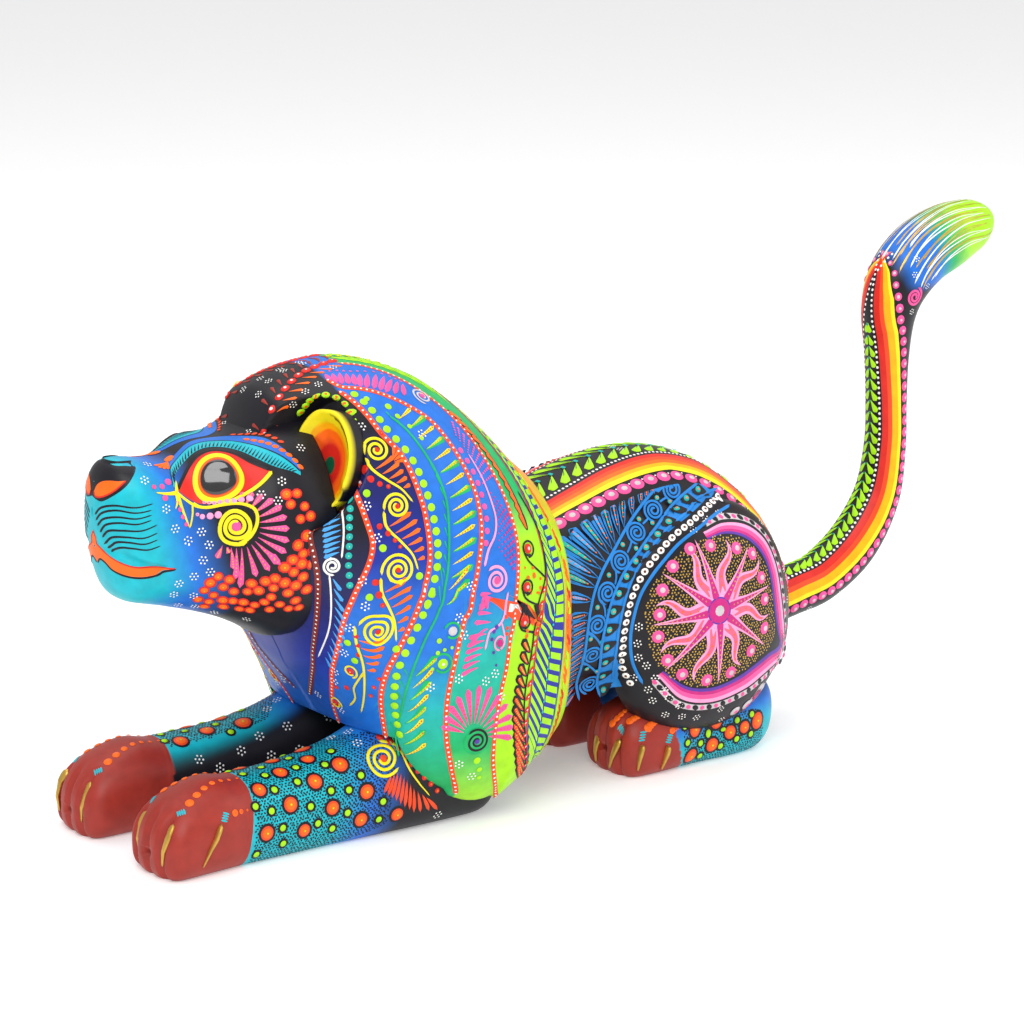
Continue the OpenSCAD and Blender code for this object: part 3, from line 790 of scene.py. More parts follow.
# %% Ears
def ear_at(reach, turn, front):
    """The left ear in its own frame: a flat-backed leaf-shaped cup. reach 0 is its middle and 1 its rim; the front is
    a bowl and the back is flat."""
    c, s = np.cos(np.radians(turn)), np.sin(np.radians(turn))
    tip = 1 - 0.10 * np.clip(s, 0, 1) ** 6
    width = EAR["half_w"] * (1 - 0.22 * np.clip(s, 0, 1) ** 2)
    x, y = reach * width * c, reach * EAR["half_h"] * s * tip
    bowl = 10.8 - 8.2 * np.clip(1 - reach ** 2.2, 0, 1) - 2.5 * bump(np.hypot((x - 8) / 7, (y + 14) / 8))
    z = np.where(front, bowl, 0.0)
    return ear_frame(np.stack([x, y, z], -1))


turn_ear = np.linspace(0, 360, 120, endpoint=False)[None, :]
inner = ear_at(np.concatenate([[0.03], np.linspace(0.08, 0.9, 22)])[:, None], turn_ear, True)
rim = [ear_at(np.full((1, 1), 0.95), turn_ear, True)[0]]
edge = ear_at(np.full((1, 1), 1.0), turn_ear, True)[0]
foot = ear_at(np.full((1, 1), 1.0), turn_ear, False)[0]
wall = [edge + (foot - edge) * t for t in (0.12, 0.45, 0.8, 1)]
rings = np.concatenate([inner, rim, wall, [foot * 0.05 + foot.mean(0) * 0.95]])
ear_points, ear_faces = skin(rings)
print("ear box:", np.round(ear_points.min(0), 1), np.round(ear_points.max(0), 1))

# %% [markdown]
# ## Brush tools
# A dot is what a drop of thick acrylic leaves: a low round dome. A stroke is a ribbon of paint with a rounded back
# that can swell and taper, which gives stems, curls, petals and feathers. All of them are drawn in flat millimetres
# and lifted onto the block by its drawing surface. Each colour of a region is one mesh, and both sides of the
# figure share it.

# %% Paths
def path_through(points, count):
    """A smooth path of count even steps through a few points: a cubic between points by distance walked."""
    p = np.asarray(points, float)
    walked = np.concatenate([[0], np.cumsum(np.hypot(*np.diff(p, axis=0).T))])
    table = np.column_stack([walked, p])
    s = np.linspace(0, walked[-1], count)
    fine = np.column_stack([along(table, 1, s), along(table, 2, s)])
    walked = np.concatenate([[0], np.cumsum(np.hypot(*np.diff(fine, axis=0).T))])
    s = np.linspace(0, walked[-1], count)
    return np.column_stack([np.interp(s, walked, fine[:, 0]), np.interp(s, walked, fine[:, 1])])


def length_of(path):
    """Length of a path."""
    return float(np.hypot(*np.diff(path, axis=0).T).sum())


def heading(path):
    """Unit direction at each point of a path, and the unit direction to its side."""
    d = np.gradient(path, axis=0)
    d /= np.maximum(np.linalg.norm(d, axis=1, keepdims=True), 1e-9)
    return d, np.column_stack([-d[:, 1], d[:, 0]])


def beside(path, distance):
    """The path moved sideways; distance may change along it."""
    return path + heading(path)[1] * np.broadcast_to(distance, len(path))[:, None]


# %% Dots and strokes
class Brush:
    """Paint laid on one region of the figure, kept by colour until it is made into meshes."""

    def __init__(self, region, surface, slot, body="figure"):
        self.region, self.surface, self.slot, self.body, self.coats = region, surface, slot, body, {}

    def stretch(self, flat):
        """How the block stretches the flat sheet at each place: lengths along p and q, and the slant between them."""
        p, q, e = flat[:, 0], flat[:, 1], 0.1
        dp = (self.surface(p + e, q) - self.surface(p - e, q)) / (2 * e)
        dq = (self.surface(p, q + e) - self.surface(p, q - e)) / (2 * e)
        a = np.clip(np.linalg.norm(dp, axis=1), 0.3, 6)
        slant = (dp * dq).sum(1) / a
        return a, slant, np.sqrt(np.clip((dq ** 2).sum(1) - slant ** 2, 0.09, 36))

    def offset(self, flat, mm):
        """Flat places moved by true millimetres (along p, across): the stretch is undone first."""
        flat = np.atleast_2d(np.asarray(flat, float))
        a, slant, c = (v[:, None] for v in self.stretch(flat))
        across = mm[..., 1] / c
        return flat[:, None, :] + np.stack([(mm[..., 0] - slant * across) / a, across], -1)

    def spaced(self, points, gap, start=0.5):
        """Places at an even true gap along a smooth path through the given points."""
        path = path_through(points, 300)
        walked = np.concatenate([[0], np.cumsum(np.linalg.norm(np.diff(self.surface(*path.T), axis=0), axis=1))])
        n = max(int(walked[-1] / gap), 1)
        at = (np.arange(n) + start) / n * walked[-1]
        return np.column_stack([np.interp(at, walked, path[:, c]) for c in (0, 1)])

    def curl(self, colour, centre, radius, turns, start, width, hand=1, inner=0.12, layer=3):
        """A spiral stroke from its outer end, at the angle start, to its middle: the radius falls while it turns."""
        n = int(26 * turns) + 6
        t = np.linspace(0, 1, n)
        angle = math.radians(start) + hand * 2 * math.pi * turns * t
        r = radius * (1 - (1 - inner) * t ** 0.9)
        path = self.offset([centre], np.stack([r * np.cos(angle), r * np.sin(angle)], -1)[None])[0]
        self.stroke(colour, path, width, layer, 0.3)
        return path

    def lay(self, colour, flat, height, faces):
        """Keeps one batch of paint: flat points, their heights over the block and triangles."""
        coat = self.coats.setdefault(colour, [[], [], [], 0])
        coat[0].append(flat)
        coat[1].append(height)
        coat[2].append(faces + coat[3])
        coat[3] += len(flat)

    def dots(self, colour, centres, radius, layer=3, tall=0.3, stretch=1.0, turn=0.0):
        """Round dots or ovals. A dot is a dome of three levels; the smallest ones are a cone of six faces."""
        c = np.atleast_2d(np.asarray(centres, float))
        r = np.broadcast_to(np.asarray(radius, float), len(c))
        stretch, turn = np.broadcast_to(stretch, len(c)), np.radians(np.broadcast_to(turn, len(c)))
        big = r.max() > 0.75
        n = 40 if r.max() > 5 else 14 if r.max() > 2.5 else 10 if big else 7
        angle = -2 * math.pi * np.arange(n) / n
        levels = ((1.0, -0.05), (0.8, 0.6), (0.4, 0.93)) if big else ((1.0, 0.0),)
        if r.max() > 5:
            levels = ((1.0, -0.05), (0.93, 0.5), (0.8, 0.7), (0.6, 0.8), (0.4, 0.9), (0.2, 0.97))
        high = np.minimum(tall * r, 0.55)
        flat, height = [], []
        for k, h in levels:
            u, v = k * np.cos(angle)[None, :] * (r * stretch)[:, None], k * np.sin(angle)[None, :] * r[:, None]
            flat.append(self.offset(c, np.stack([u * np.cos(turn)[:, None] - v * np.sin(turn)[:, None],
                                                 u * np.sin(turn)[:, None] + v * np.cos(turn)[:, None]], -1)))
            height.append(np.broadcast_to((0.06 * layer + h * high)[:, None], (len(c), n)))
        flat = np.concatenate(flat + [c[:, None, :]], axis=1)
        height = np.concatenate(height + [(0.06 * layer + high)[:, None]], axis=1)
        j, k = np.arange(n), (np.arange(n) + 1) % n
        tri = [np.stack([np.full(n, n * len(levels)), j + n * (len(levels) - 1), k + n * (len(levels) - 1)], -1)]
        for ring in range(len(levels) - 1):
            a, b = j + ring * n, k + ring * n
            tri += [np.stack([a, b, b + n], -1), np.stack([a, b + n, a + n], -1)]
        tri = np.concatenate(tri)
        faces = (tri[None] + (np.arange(len(c)) * flat.shape[1])[:, None, None]).reshape(-1, 3)
        self.lay(colour, flat.reshape(-1, 2), height.reshape(-1), faces)

    def stroke(self, colour, path, width, layer=2, tall=0.16, ends=True):
        """A ribbon of paint along a path, width across. Its back is rounded and its ends close to a point or round."""
        path = np.asarray(path, float)
        n = len(path)
        half = np.broadcast_to(np.asarray(width, float), n) / 2
        a, slant, c = self.stretch(path)
        way = np.gradient(path, axis=0)
        true = np.column_stack([way[:, 0] * a + way[:, 1] * slant, way[:, 1] * c])
        true /= np.maximum(np.linalg.norm(true, axis=1, keepdims=True), 1e-9)
        if ends:
            walked = np.concatenate([[0], np.cumsum(np.linalg.norm(np.diff(self.surface(*path.T), axis=0), axis=1))])
            near = np.minimum(walked, walked[-1] - walked) / max(half.max(), 1e-6)
            half = half * np.sqrt(np.clip(1 - (1 - np.clip(near, 0, 1)) ** 2, 0.0004, 1))
        across = np.array([-1, -0.6, 0, 0.6, 1.0]) if half.max() > 0.55 else np.array([-1, 0, 1.0])
        back = np.array([-0.05, 0.75, 1, 0.75, -0.05]) if half.max() > 0.55 else np.array([-0.05, 1, -0.05])
        m = len(across)
        reach = half[:, None] * across[None, :]
        flat = self.offset(path, np.stack([-true[:, 1:] * reach, true[:, :1] * reach], -1))
        high = np.minimum(tall * (0.4 + half), 0.5)
        height = 0.06 * layer + high[:, None] * back[None, :]
        i, j = np.meshgrid(np.arange(n - 1), np.arange(m - 1), indexing="ij")
        a = (i * m + j).ravel()
        faces = np.concatenate([np.stack([a, a + 1, a + m + 1], -1), np.stack([a, a + m + 1, a + m], -1)])
        self.lay(colour, flat.reshape(-1, 2), height.reshape(-1), faces)

    def fill(self, colour, first, second, layer=1, across=None):
        """A flat coat between two paths of the same number of points."""
        first, second = np.asarray(first, float), np.asarray(second, float)
        gap = np.hypot(*(second - first).T).max()
        m = across or max(int(gap / 1.3) + 2, 3)
        t = np.linspace(0, 1, m)[None, :, None]
        flat = first[:, None, :] * (1 - t) + second[:, None, :] * t
        n = len(first)
        i, j = np.meshgrid(np.arange(n - 1), np.arange(m - 1), indexing="ij")
        a = (i * m + j).ravel()
        faces = np.concatenate([np.stack([a, a + 1, a + m + 1], -1), np.stack([a, a + m + 1, a + m], -1)])
        corner = flat.reshape(-1, 2)[faces]
        u, v = corner[:, 1] - corner[:, 0], corner[:, 2] - corner[:, 0]
        area = (u[:, 0] * v[:, 1] - u[:, 1] * v[:, 0]).sum()
        self.lay(colour, flat.reshape(-1, 2), np.full(n * m, 0.06 * layer), faces[:, ::-1] if area > 0 else faces)

    def petal(self, colour, foot, angle, length, width, layer=2, bend=0.0, shape=1.6, tall=0.16):
        """A petal from its thin foot to its round tip. Width grows with the distance from the foot to the power of
        1/shape; bend is the turn in degrees over its length."""
        t = np.linspace(0, 1, 9)
        a = math.radians(angle) + math.radians(bend) * (t - 0.5)
        d = np.diff(t, prepend=0)[:, None] * length * np.column_stack([np.cos(a), np.sin(a)])
        path = self.offset([foot], np.cumsum(d, axis=0)[None])[0]
        swell = width * np.clip(t, 0.02,
                                1) ** (1 / shape) * np.sqrt(np.clip(1 - (np.clip((t - 1 + width / length * 0.5) /
                                                                      (width / length * 0.5), 0, 1)) ** 2, 0.01, 1))
        self.stroke(colour, path, swell, layer, tall, ends=False)
        return path

    def cluster(self, centres, size=1.5, colour="white", count=6):
        """Small flowers of fine dots: one in the middle and a ring round it."""
        c = np.atleast_2d(np.asarray(centres, float))
        angle = 2 * math.pi * np.arange(count) / count
        turn = rng.uniform(0, 1, len(c))
        ring = self.offset(c, size * np.stack([np.cos(angle[None] + turn[:, None]),
                                               np.sin(angle[None] + turn[:, None])], -1))
        self.dots(colour, np.concatenate([c, ring.reshape(-1, 2)]), 0.26 * size, layer=3, tall=0.5)

    def finish(self):
        """Lifts every coat onto the block and makes one piece per colour, with its mirror image on the other side."""
        for colour, (flat, height, faces, count) in self.coats.items():
            flat, height, faces = np.concatenate(flat), np.concatenate(height), np.concatenate(faces)
            p, q, e = flat[:, 0], flat[:, 1], 0.06
            here = self.surface(p, q)
            out = np.cross(self.surface(p, q + e) - self.surface(p, q - e),
                           self.surface(p + e, q) - self.surface(p - e, q))
            out /= np.maximum(np.linalg.norm(out, axis=1, keepdims=True), 1e-9)
            points = here + out * height[:, None]
            other, turned = mirrored(points, faces)
            new_piece("%s_%s" % (self.region, colour), np.concatenate([points, other]),
                      np.concatenate([faces, turned + len(points)]), paints[colour], self.slot, self.body)
        total = sum(2 * sum(len(f) for f in c[2]) for c in self.coats.values())
        print(self.region, "paint:", len(self.coats), "colours,", total, "triangles")


# %% [markdown]
# ## The mane
# Five brick-red ribbons with white dots run down each side and part the mane into bands. Each band has its own
# plan: feathers and a white curl next to the cheek, yellow curls with orange petals, a green stem with slim petals,
# a pink fan, and a lime edge with black curls. The ground fades from navy and blue at the front and top to green
# and lime at the back.

# %% Ribbons that part the mane
# Each ribbon: (distance down from the top line, X).
RIBBON = [
    np.array([(62, -146.5), (70, -149.5), (80, -151.5), (92, -152), (109, -149.5), (130, -145), (156, -139),
              (188, -130)]),
    np.array([(63.5, -137.5), (71, -135.5), (81, -133), (88.5, -131.5), (96.5, -133), (109.5, -137.5),
              (120.5, -139.5),
              (131.5, -139), (149, -136.5), (163.5, -132.5), (181, -127), (190, -124)]),
    np.array([(26, -128), (33, -125), (40.5, -122.5), (49, -120), (56.5, -116), (63, -113.5), (73, -111.5),
              (82, -110.3),
              (98, -110), (111, -113), (120, -116.5), (130, -121.5), (139, -124.8), (149, -125), (160, -123),
              (175, -119)]),
    np.array([(18, -129), (24.5, -126), (27.5, -120.5), (32, -112.5), (37.5, -103.5), (43.5, -96), (52, -91.5),
              (60.5, -88.5),
              (68.5, -86.5), (77.5, -86), (86, -86.8), (98.5, -89.5), (110.5, -92.5), (122.5, -96.5), (136, -99.7),
              (149, -102.5), (159, -103.2), (170, -102), (182, -98), (196, -92)]),
    np.array([(10, -118), (14, -108), (20, -98), (30, -88), (40, -80.5), (51, -75.5), (63.5, -71.5), (72, -70),
              (82, -69.5),
              (93, -70.7), (106, -72.6), (118, -74.7), (134, -77), (146, -79.8), (158, -81.6), (172, -81.8),
              (181, -79),
              (192, -71)])]
LIME_EDGE = np.array([(0, -87), (9, -83.5), (18, -78), (30, -70), (45, -62), (62, -57.5), (75, -56), (87, -56),
                      (99, -58.5), (114, -61.5),
                      (130, -63.7), (143, -65.3), (155, -65.8), (166, -62), (180, -56)])
CHEVRON_EDGE = np.array([(0, -77), (9, -73.5), (18, -68), (30, -60), (45, -53), (62, -48.3), (74, -46.3), (99, -46),
                         (112, -47.3), (126, -48.7),
                         (137, -49.5), (151, -51), (165, -49), (180, -46)])


def ribbon_x(k, q):
    """X of ribbon k at a distance down the side; 5 is the front edge of the chevron strip and 6 its rear edge."""
    t = (RIBBON + [LIME_EDGE, CHEVRON_EDGE])[k]
    return along(t, 1, q)


def mane_ground(points, q):
    """Navy near the cheek, blue in the middle bands, green to lime downwards and backwards, black round the ears."""
    x, z = points[:, 0], points[:, 2]
    band = [ribbon_x(k, q) for k in range(7)]
    front = fade(z, (30, "blue"), (70, "deep_blue"), (95, "navy"), (125, "black"))
    after = [fade(z, (40, "blue"), (90, "blue"), (112, "deep_blue"), (140, "navy"), (160, "black")),
             fade(z, (20, "green"), (50, "teal"), (75, "blue"), (170, "blue")),
             fade(z, (10, "lime"), (34, "green"), (72, "teal"), (96, "blue"), (170, "blue")),
             fade(z, (0, "lime"), (112, "lime"), (128, "green"), (160, "green")),
             plain(points, "deep_blue"),
             fade(z, (0, "orange"), (40, "lime"), (75, "orange"), (105, "lime"), (140, "orange"))]
    colour = front
    for k in range(1, 7):
        colour = mix(colour, after[k - 1], smooth_step(x, band[k] - 0.5, band[k] + 0.5))
    crown = smooth_step(-q - 0.2 * (x + 163), -30, -22) * smooth_step(-x, 126, 136)
    return mix(colour, plain(points, "black"), crown)


mane_points, mane_faces = mane_skin
mane_q = np.concatenate([np.interp(row, on_mane.turn[int(np.clip(round((x + 162.8) / 122.6 * 99), 0, 99))], on_mane.q)
                         for x, row in zip(x_mane, mane_turn)] + [[0, 0]])
new_piece("mane_block", mane_points, mane_faces, ground_paint, "mane_paint", node="mane",
          ground=mane_ground(mane_points, mane_q))

mane = Brush("mane", on_mane, "mane_paint")
for k, (colour, width) in enumerate((("rust", 2.4), ("coral", 2.2), ("coral", 2.2), ("coral", 2.1), ("coral", 1.9))):
    t = RIBBON[k]
    path = path_through(t[:, ::-1], int(length_of(t) / 1.5))
    mane.stroke(colour, path, width, layer=2, tall=0.12)
    mane.dots("white", mane.spaced(path, 2.25), 0.52, layer=4, tall=0.5)

# %% Band between the second and the third ribbon: yellow curls and orange petals
curls = [((-124.0, 54.5), 5.4, 225, 2.2), ((-121.0, 77.0), 5.2, 200, 2.3), ((-122.5, 100.5), 6.6, 180, 2.6),
         ((-129.5, 122.5), 7.1, 180, 2.9)]
stems = [[(-129.6, 55.5), (-127.5, 61), (-122.5, 67), (-118.0, 71.5), (-114.5, 77)],
         [(-126.3, 77), (-126, 83), (-120.5, 91), (-116.8, 96.5), (-115, 102.5)],
         [(-129.1, 101), (-128.7, 107), (-126.0, 114), (-124.0, 120), (-123.2, 128)],
         [(-136.6, 123), (-135.0, 130), (-131.5, 138.5), (-128.5, 151), (-125.8, 166)]]
for (centre, radius, start, turns), stem in zip(curls, stems):
    mane.curl("yellow", centre, radius, turns, 180, 1.15)
    mane.dots("red", [centre], 1.1, layer=4)
    mane.dots("orange", [centre], 0.5, layer=7)
    path = path_through(stem, 26)
    mane.stroke("yellow", path, np.linspace(1.25, 0.7, 26), layer=3, tall=0.3)
    tips = mane.spaced(stem, 3.1, 0.9)[1:]
    for tip in tips:
        far = ribbon_x(2, tip[1] - 1.5) - 1.9
        reach = far - tip[0] - 1.0
        if reach > 2.2:
            mane.petal("orange", (tip[0] + 0.9, tip[1] - 0.2), -14, min(reach, 10.5), 1.9, bend=-18, layer=2)
mane.dots("lime", [(-114.6, 104.8), (-123, 131)], 1.5, layer=3)
mane.dots("orange", [(-114.6, 104.8), (-123, 131)], 0.45, layer=6)
for petal_angle in (-62, -40, -20, 0):
    mane.petal("orange", (-118.5, 61 + petal_angle * 0.03), petal_angle, 5.5, 1.9, layer=2)
for centre, start, hand in (((-133.3, 144.8), 60, -1), ((-129.2, 171.5), 0, -1)):
    mane.curl("yellow", centre, 3.1, 1.1, start, 0.85, hand, 0.55)
    mane.dots("red", [centre], 1.5, layer=3)
    mane.dots("pearl", [centre], 0.9, layer=6)
mane.stroke("yellow", path_through([(-131.5, 138.5), (-130.5, 142), (-131.0, 146)], 8), 0.8, layer=3)
mane.stroke("yellow", path_through([(-130.8, 141), (-130.6, 152), (-128.8, 158), (-128.0, 166)], 14), 0.8, layer=3)
red = np.array([(-132, 60, 1.9), (-129, 64.2, 1.4), (-126, 67, 1.1), (-123, 69, .9), (-128.5, 82, 1.2),
                (-125.6, 85.6, 1.2),
                (-123.2, 89, 1.0), (-121.5, 92, .8), (-131, 103.3, 1.4), (-129.6, 107.8, 1.5), (-128.4, 112, 1.0),
                (-135.5, 127.4, 1.1), (-134.4, 131, 1.1), (-133.4, 135, 1.1), (-126.5, 143.5, .9), (-127.0, 148, .9),
                (-126.7, 153.0, .9), (-131.5, 155.0, 1.2), (-132.6, 159.4, 1.0), (-120.0, 49.0, .9), (-130, 46, .9)])
mane.dots("red", red[:, :2], red[:, 2], layer=3)
mane.dots("orange", red[:, :2], red[:, 2] * 0.45, layer=6)
lime = np.array([(-131.5, 70), (-128, 90.3), (-133, 109.8), (-137, 132), (-133.7, 138.5)])
mane.dots("lime", lime, 1.5, layer=3)
mane.dots("yellow", lime, 0.6, layer=6)
mane.cluster([(-135.4, 66), (-132.3, 75), (-129.8, 86.3), (-135.5, 104.5), (-137.7, 125), (-136.6, 137.5),
              (-135.5, 150.5),
              (-134, 156.5), (-127.5, 174.5), (-131, 178.5), (-126.6, 44), (-134.2, 113.8)])

# %% Band between the third and the fourth ribbon: a green stem with slim petals
q = np.arange(30, 172, 4.5)
beads = np.column_stack([ribbon_x(2, q) + 3.2, q])
mane.dots("lime", beads, 1.6, layer=3)
mane.dots("orange", beads, 0.8, layer=6)
leaf_stem = [(-114, 42.5), (-109.2, 49), (-104.8, 58.5), (-101.8, 67.5), (-100.5, 76.5), (-101, 85), (-102, 95),
             (-103.6, 106), (-107.2, 119.5), (-112.6, 130), (-117, 141.5), (-118.6, 152), (-118, 170), (-115, 182)]
mane.stroke("green", path_through(leaf_stem, 120), 0.9, layer=3, tall=0.3)
for n, tip in enumerate(mane.spaced(leaf_stem, 4.9)):
    if 118 < tip[1] < 143:
        continue
    reach = ribbon_x(3, tip[1] - 4.5) - tip[0] - 3.4
    if reach > 3.5:
        colour = ("yellow", "lime")[n % 2]
        if n % 2:
            mane.petal("green", (tip[0] + 1.6, tip[1] + 0.5), -36, min(reach, 11.5) * 1.12, 3.2, bend=-12,
                       layer=1, shape=1.2)
        spine = mane.petal(colour, (tip[0] + 1.8, tip[1]), -36, min(reach, 11.5), 1.9, bend=-12, layer=3, shape=1.2)
        mane.dots("orange", spine[2:8], np.linspace(0.26, 0.42, 6), layer=6, tall=0.6)
        mane.petal("green", (tip[0] - 0.5, tip[1]), -115, 4.2, 0.7, layer=2)
mane.curl("green", (-101.2, 126.5), 3.6, 0.85, 190, 0.9, 1, 0.75)
mane.curl("green", (-105.3, 139.5), 4.2, 0.85, 200, 0.9, 1, 0.75)
mane.dots("pearl", [(-101.2, 126.5)], 1.9, layer=3)
mane.dots("lime", [(-105.3, 139.5)], 2.1, layer=3)
mane.dots("white", [(-105.3, 139.5)], 1.1, layer=7)
mane.dots("lime", [(-106.8, 130.5), (-107.4, 135.2), (-104.6, 134), (-101.6, 133), (-98.9, 134.5), (-109.5, 141.5)],
          [1.1, .9, .8, .7, .6, .8], layer=3)
mane.cluster([(-98.6, 145), (-110, 148.5), (-98.5, 120.5), (-103, 50.5)])
early = np.array([(-119.5, 33.5), (-112.5, 38.5), (-110.5, 43.0), (-107.2, 47.5), (-104.0, 52.5)])
mane.dots("lime", early, [1.2, 1.4, 1.1, 1.0, 0.9], layer=3)

# %% Band between the fourth and the fifth ribbon: pink curl and fan
mane.stroke("rose", path_through([(-84, 54), (-81, 62), (-79.3, 70.5), (-78.7, 77.5), (-80.5, 84.5), (-84.6, 92),
                                  (-87, 99)], 40),
            np.linspace(0.6, 1.2, 40), layer=3, tall=0.3)
mane.curl("rose", (-81.6, 102.2), 5.6, 2.3, 200, 1.2)
mane.dots("pink", [(-81.6, 102.2)], 1.7, layer=4)
mane.dots("orange", [(-81.6, 102.2)], 0.7, layer=8)
mane.stroke("rose", path_through([(-76.2, 104), (-77.5, 109), (-81.5, 117), (-85, 123), (-87.3, 131.5)], 24),
            0.9, layer=3)
mane.stroke("rose", path_through([(-79.5, 113), (-78.3, 119), (-78.0, 124), (-79.6, 128.5)], 14), 0.7, layer=3)
mane.curl("rose", (-80.3, 126), 2.6, 1.0, 60, 0.8, 1, 0.8)
mane.dots("magenta", [(-80.3, 126)], 1.5, layer=3)
mane.dots("pearl", [(-80.3, 126)], 0.8, layer=6)
for n, foot in enumerate(mane.spaced([(-84.5, 108.5), (-85, 118), (-88, 130), (-91, 142)], 2.6)):
    reach = foot[0] - ribbon_x(3, foot[1]) - 2.6
    mane.petal("pink", (foot[0] + 0.3, foot[1] - 1.5), 158 - n, max(min(reach, 9), 3.5), 2.0, bend=-12, layer=2)
for n, foot in enumerate(mane.spaced([(-78.4, 66), (-78, 78), (-79.5, 90)], 2.6)):
    spine = foot + np.linspace(0, 1, 6)[:, None] * np.array([6.4, 4.6])
    mane.dots("magenta", spine, np.linspace(.35, .7, 6), layer=3)
for n, foot in enumerate(mane.spaced([(-87, 46), (-83, 56), (-81, 66)], 2.6)):
    spine = foot + np.linspace(0, 1, 6)[:, None] * np.array([1.5 + n * 0.6, -6.5])
    mane.dots("pink", spine, np.linspace(.35, .62, 6), layer=3)
trail = mane.spaced([(-88, 52), (-84.5, 62), (-83.3, 72), (-83.6, 82), (-86, 92)], 4.2)
mane.dots("pink", trail, 1.25, layer=3)
mane.dots("magenta", trail, 0.55, layer=6)
fan = np.array([-90.2, 167.0])
for n, a in enumerate(np.linspace(-172, -20, 12)):
    foot = fan + 5.5 * np.array([math.cos(math.radians(a)), math.sin(math.radians(a))])
    spine = mane.petal("pink", foot, a, 15.5 - 0.35 * abs(n - 6) ** 1.5, 2.9, layer=2, shape=1.4)
    mane.dots("coral", spine[2:8], 0.3, layer=6, tall=0.6)
mane.dots("green", [fan + (0.4, 1.5)], 5.6, layer=2, tall=0.05)
mane.curl("black", fan + (0.4, 1.5), 5.2, 2.4, -160, 1.0, layer=6)
mane.dots("violet", [fan + (0.4, 1.5)], 1.1, layer=8)
mane.dots("lime", fan + np.array([(1.5, 9.5), (3.2, 13.0), (4.0, 16.5)]), [1.5, 1.1, .9], layer=3)
mane.dots("violet", [(-81.8, 117.5), (-83, 121.5), (-84, 126), (-83.2, 131), (-82, 135.5)],
          [1.0, .9, .8, .7, .6], layer=3)
mane.dots("coral", [(-77.2, 110.5), (-76.6, 115), (-76.9, 119.5)], 0.8, layer=3)
mane.cluster([(-86.8, 143.5), (-82.5, 139), (-93.5, 108), (-96.5, 127.5), (-79.6, 147), (-95.5, 180), (-89.5, 184)])

# %% Lime edge: black curls above, red petals below
edge_stem = path_through([(-62, 55), (-56.8, 65), (-55.8, 75.5), (-56.4, 84), (-59.8, 95), (-62, 103), (-64.2, 119),
                          (-67.6, 138.5),
                          (-67.4, 151), (-63.8, 163.5), (-58, 178)], 120)
mane.stroke("black", edge_stem, 0.75, layer=4, tall=0.3)
for centre, radius, join in (((-64.2, 79.5), 3.3, (-56.2, 84.5)), ((-66.6, 96), 3.1, (-60.5, 99)),
                             ((-68.2, 107.5), 3.1, (-62.8, 111))):
    mane.curl("black", centre, radius, 1.1, 60, 0.8, -1, 0.75, layer=4)
    mane.stroke("black", path_through([(centre[0] - radius * 0.9, centre[1] + 1.2), (centre[0] - 1, centre[1] + 5),
                                       join], 12), 0.8, layer=4)
    mane.dots("red", [centre], 2.0, layer=3)
    mane.dots("pearl", [centre], 1.2, layer=7)
for n, foot in enumerate(mane.spaced([(-64.6, 118), (-67.8, 138.5), (-67.6, 151), (-64.2, 163), (-59.5, 175)], 4.4)):
    reach = foot[0] - ribbon_x(4, foot[1]) - 3.4
    mane.petal("black", (foot[0] - 0.1, foot[1]), 196 - n * 0.5, reach + 0.5, 4.3, bend=14, layer=2, shape=2.4)
    spine = mane.petal("coral", (foot[0] - 0.7, foot[1]), 196 - n * 0.5, reach - 1.1, 2.5, bend=14, layer=5,
                       shape=1.8)
    mane.dots("lime", spine[2:8], 0.28, layer=8, tall=0.6)
for n, foot in enumerate(mane.spaced([(-79, 34), (-72, 45), (-66.5, 56), (-63.5, 66), (-62, 73)], 4.2)):
    mane.petal("black", (foot[0] - 0.2, foot[1]), -168 + n * 2, 7.6, 4.1, bend=-10, layer=2, shape=2.4)
    mane.petal("orange", (foot[0] - 0.8, foot[1]), -168 + n * 2, 6.4, 2.7, bend=-10, layer=5, shape=1.8)
specks = np.column_stack([rng.uniform(-67, -58, 26), rng.uniform(84, 116, 26)])
mane.dots("orange", specks, rng.uniform(0.4, 0.95, 26), layer=3)
ovals = np.column_stack([LIME_EDGE[:, 1], LIME_EDGE[:, 0]])
ovals = mane.spaced(ovals[7:], 5.2) + (-1.0, 0)
mane.dots("red", ovals, 0.85, layer=4, stretch=2.3, turn=96)
mane.dots("white", ovals, 0.45, layer=7, stretch=2.0, turn=96)

# %% Chevron strip and flames at the rear edge
mid = path_through(np.column_stack([(LIME_EDGE[:, 1] + along(CHEVRON_EDGE, 1, LIME_EDGE[:, 0])) / 2,
                                    LIME_EDGE[:, 0]]), 200)
for spot in mane.spaced(mid, 4.3):
    half_w = 0.5 * (ribbon_x(6, spot[1]) - ribbon_x(5, spot[1])) - 0.9
    for hand in (-1, 1):
        tip = spot + (hand * half_w, -3.4)
        a, b = np.array([spot + (hand * 0.35, 2.0), tip + (0, 1.7)]), np.array([spot + (hand * 0.35, -0.6),
                                                                                tip + (0, -1.0)])
        k = np.linspace(0, 1, 5)[:, None]
        mane.fill("lime", a[0] * (1 - k) + a[1] * k, b[0] * (1 - k) + b[1] * k, layer=2, across=3)
    mane.dots("turquoise", [spot + (0, -2.3)], 0.55, layer=4)
mane.stroke("red", path_through(LIME_EDGE[:, ::-1], 120), 0.6, layer=3)
mane.stroke("lime", path_through(CHEVRON_EDGE[:, ::-1], 120), 0.5, layer=3)
for spot in mane.spaced(CHEVRON_EDGE[:, ::-1] + (2.4, 0), 3.1):
    mane.stroke(("red", "lime", "orange")[int(rng.integers(0, 3))],
                path_through([spot + (-0.9, -2), spot + (0.5, 0), spot + (-0.2, 2.4)], 6),
                1.3, layer=2)
mane.finish()

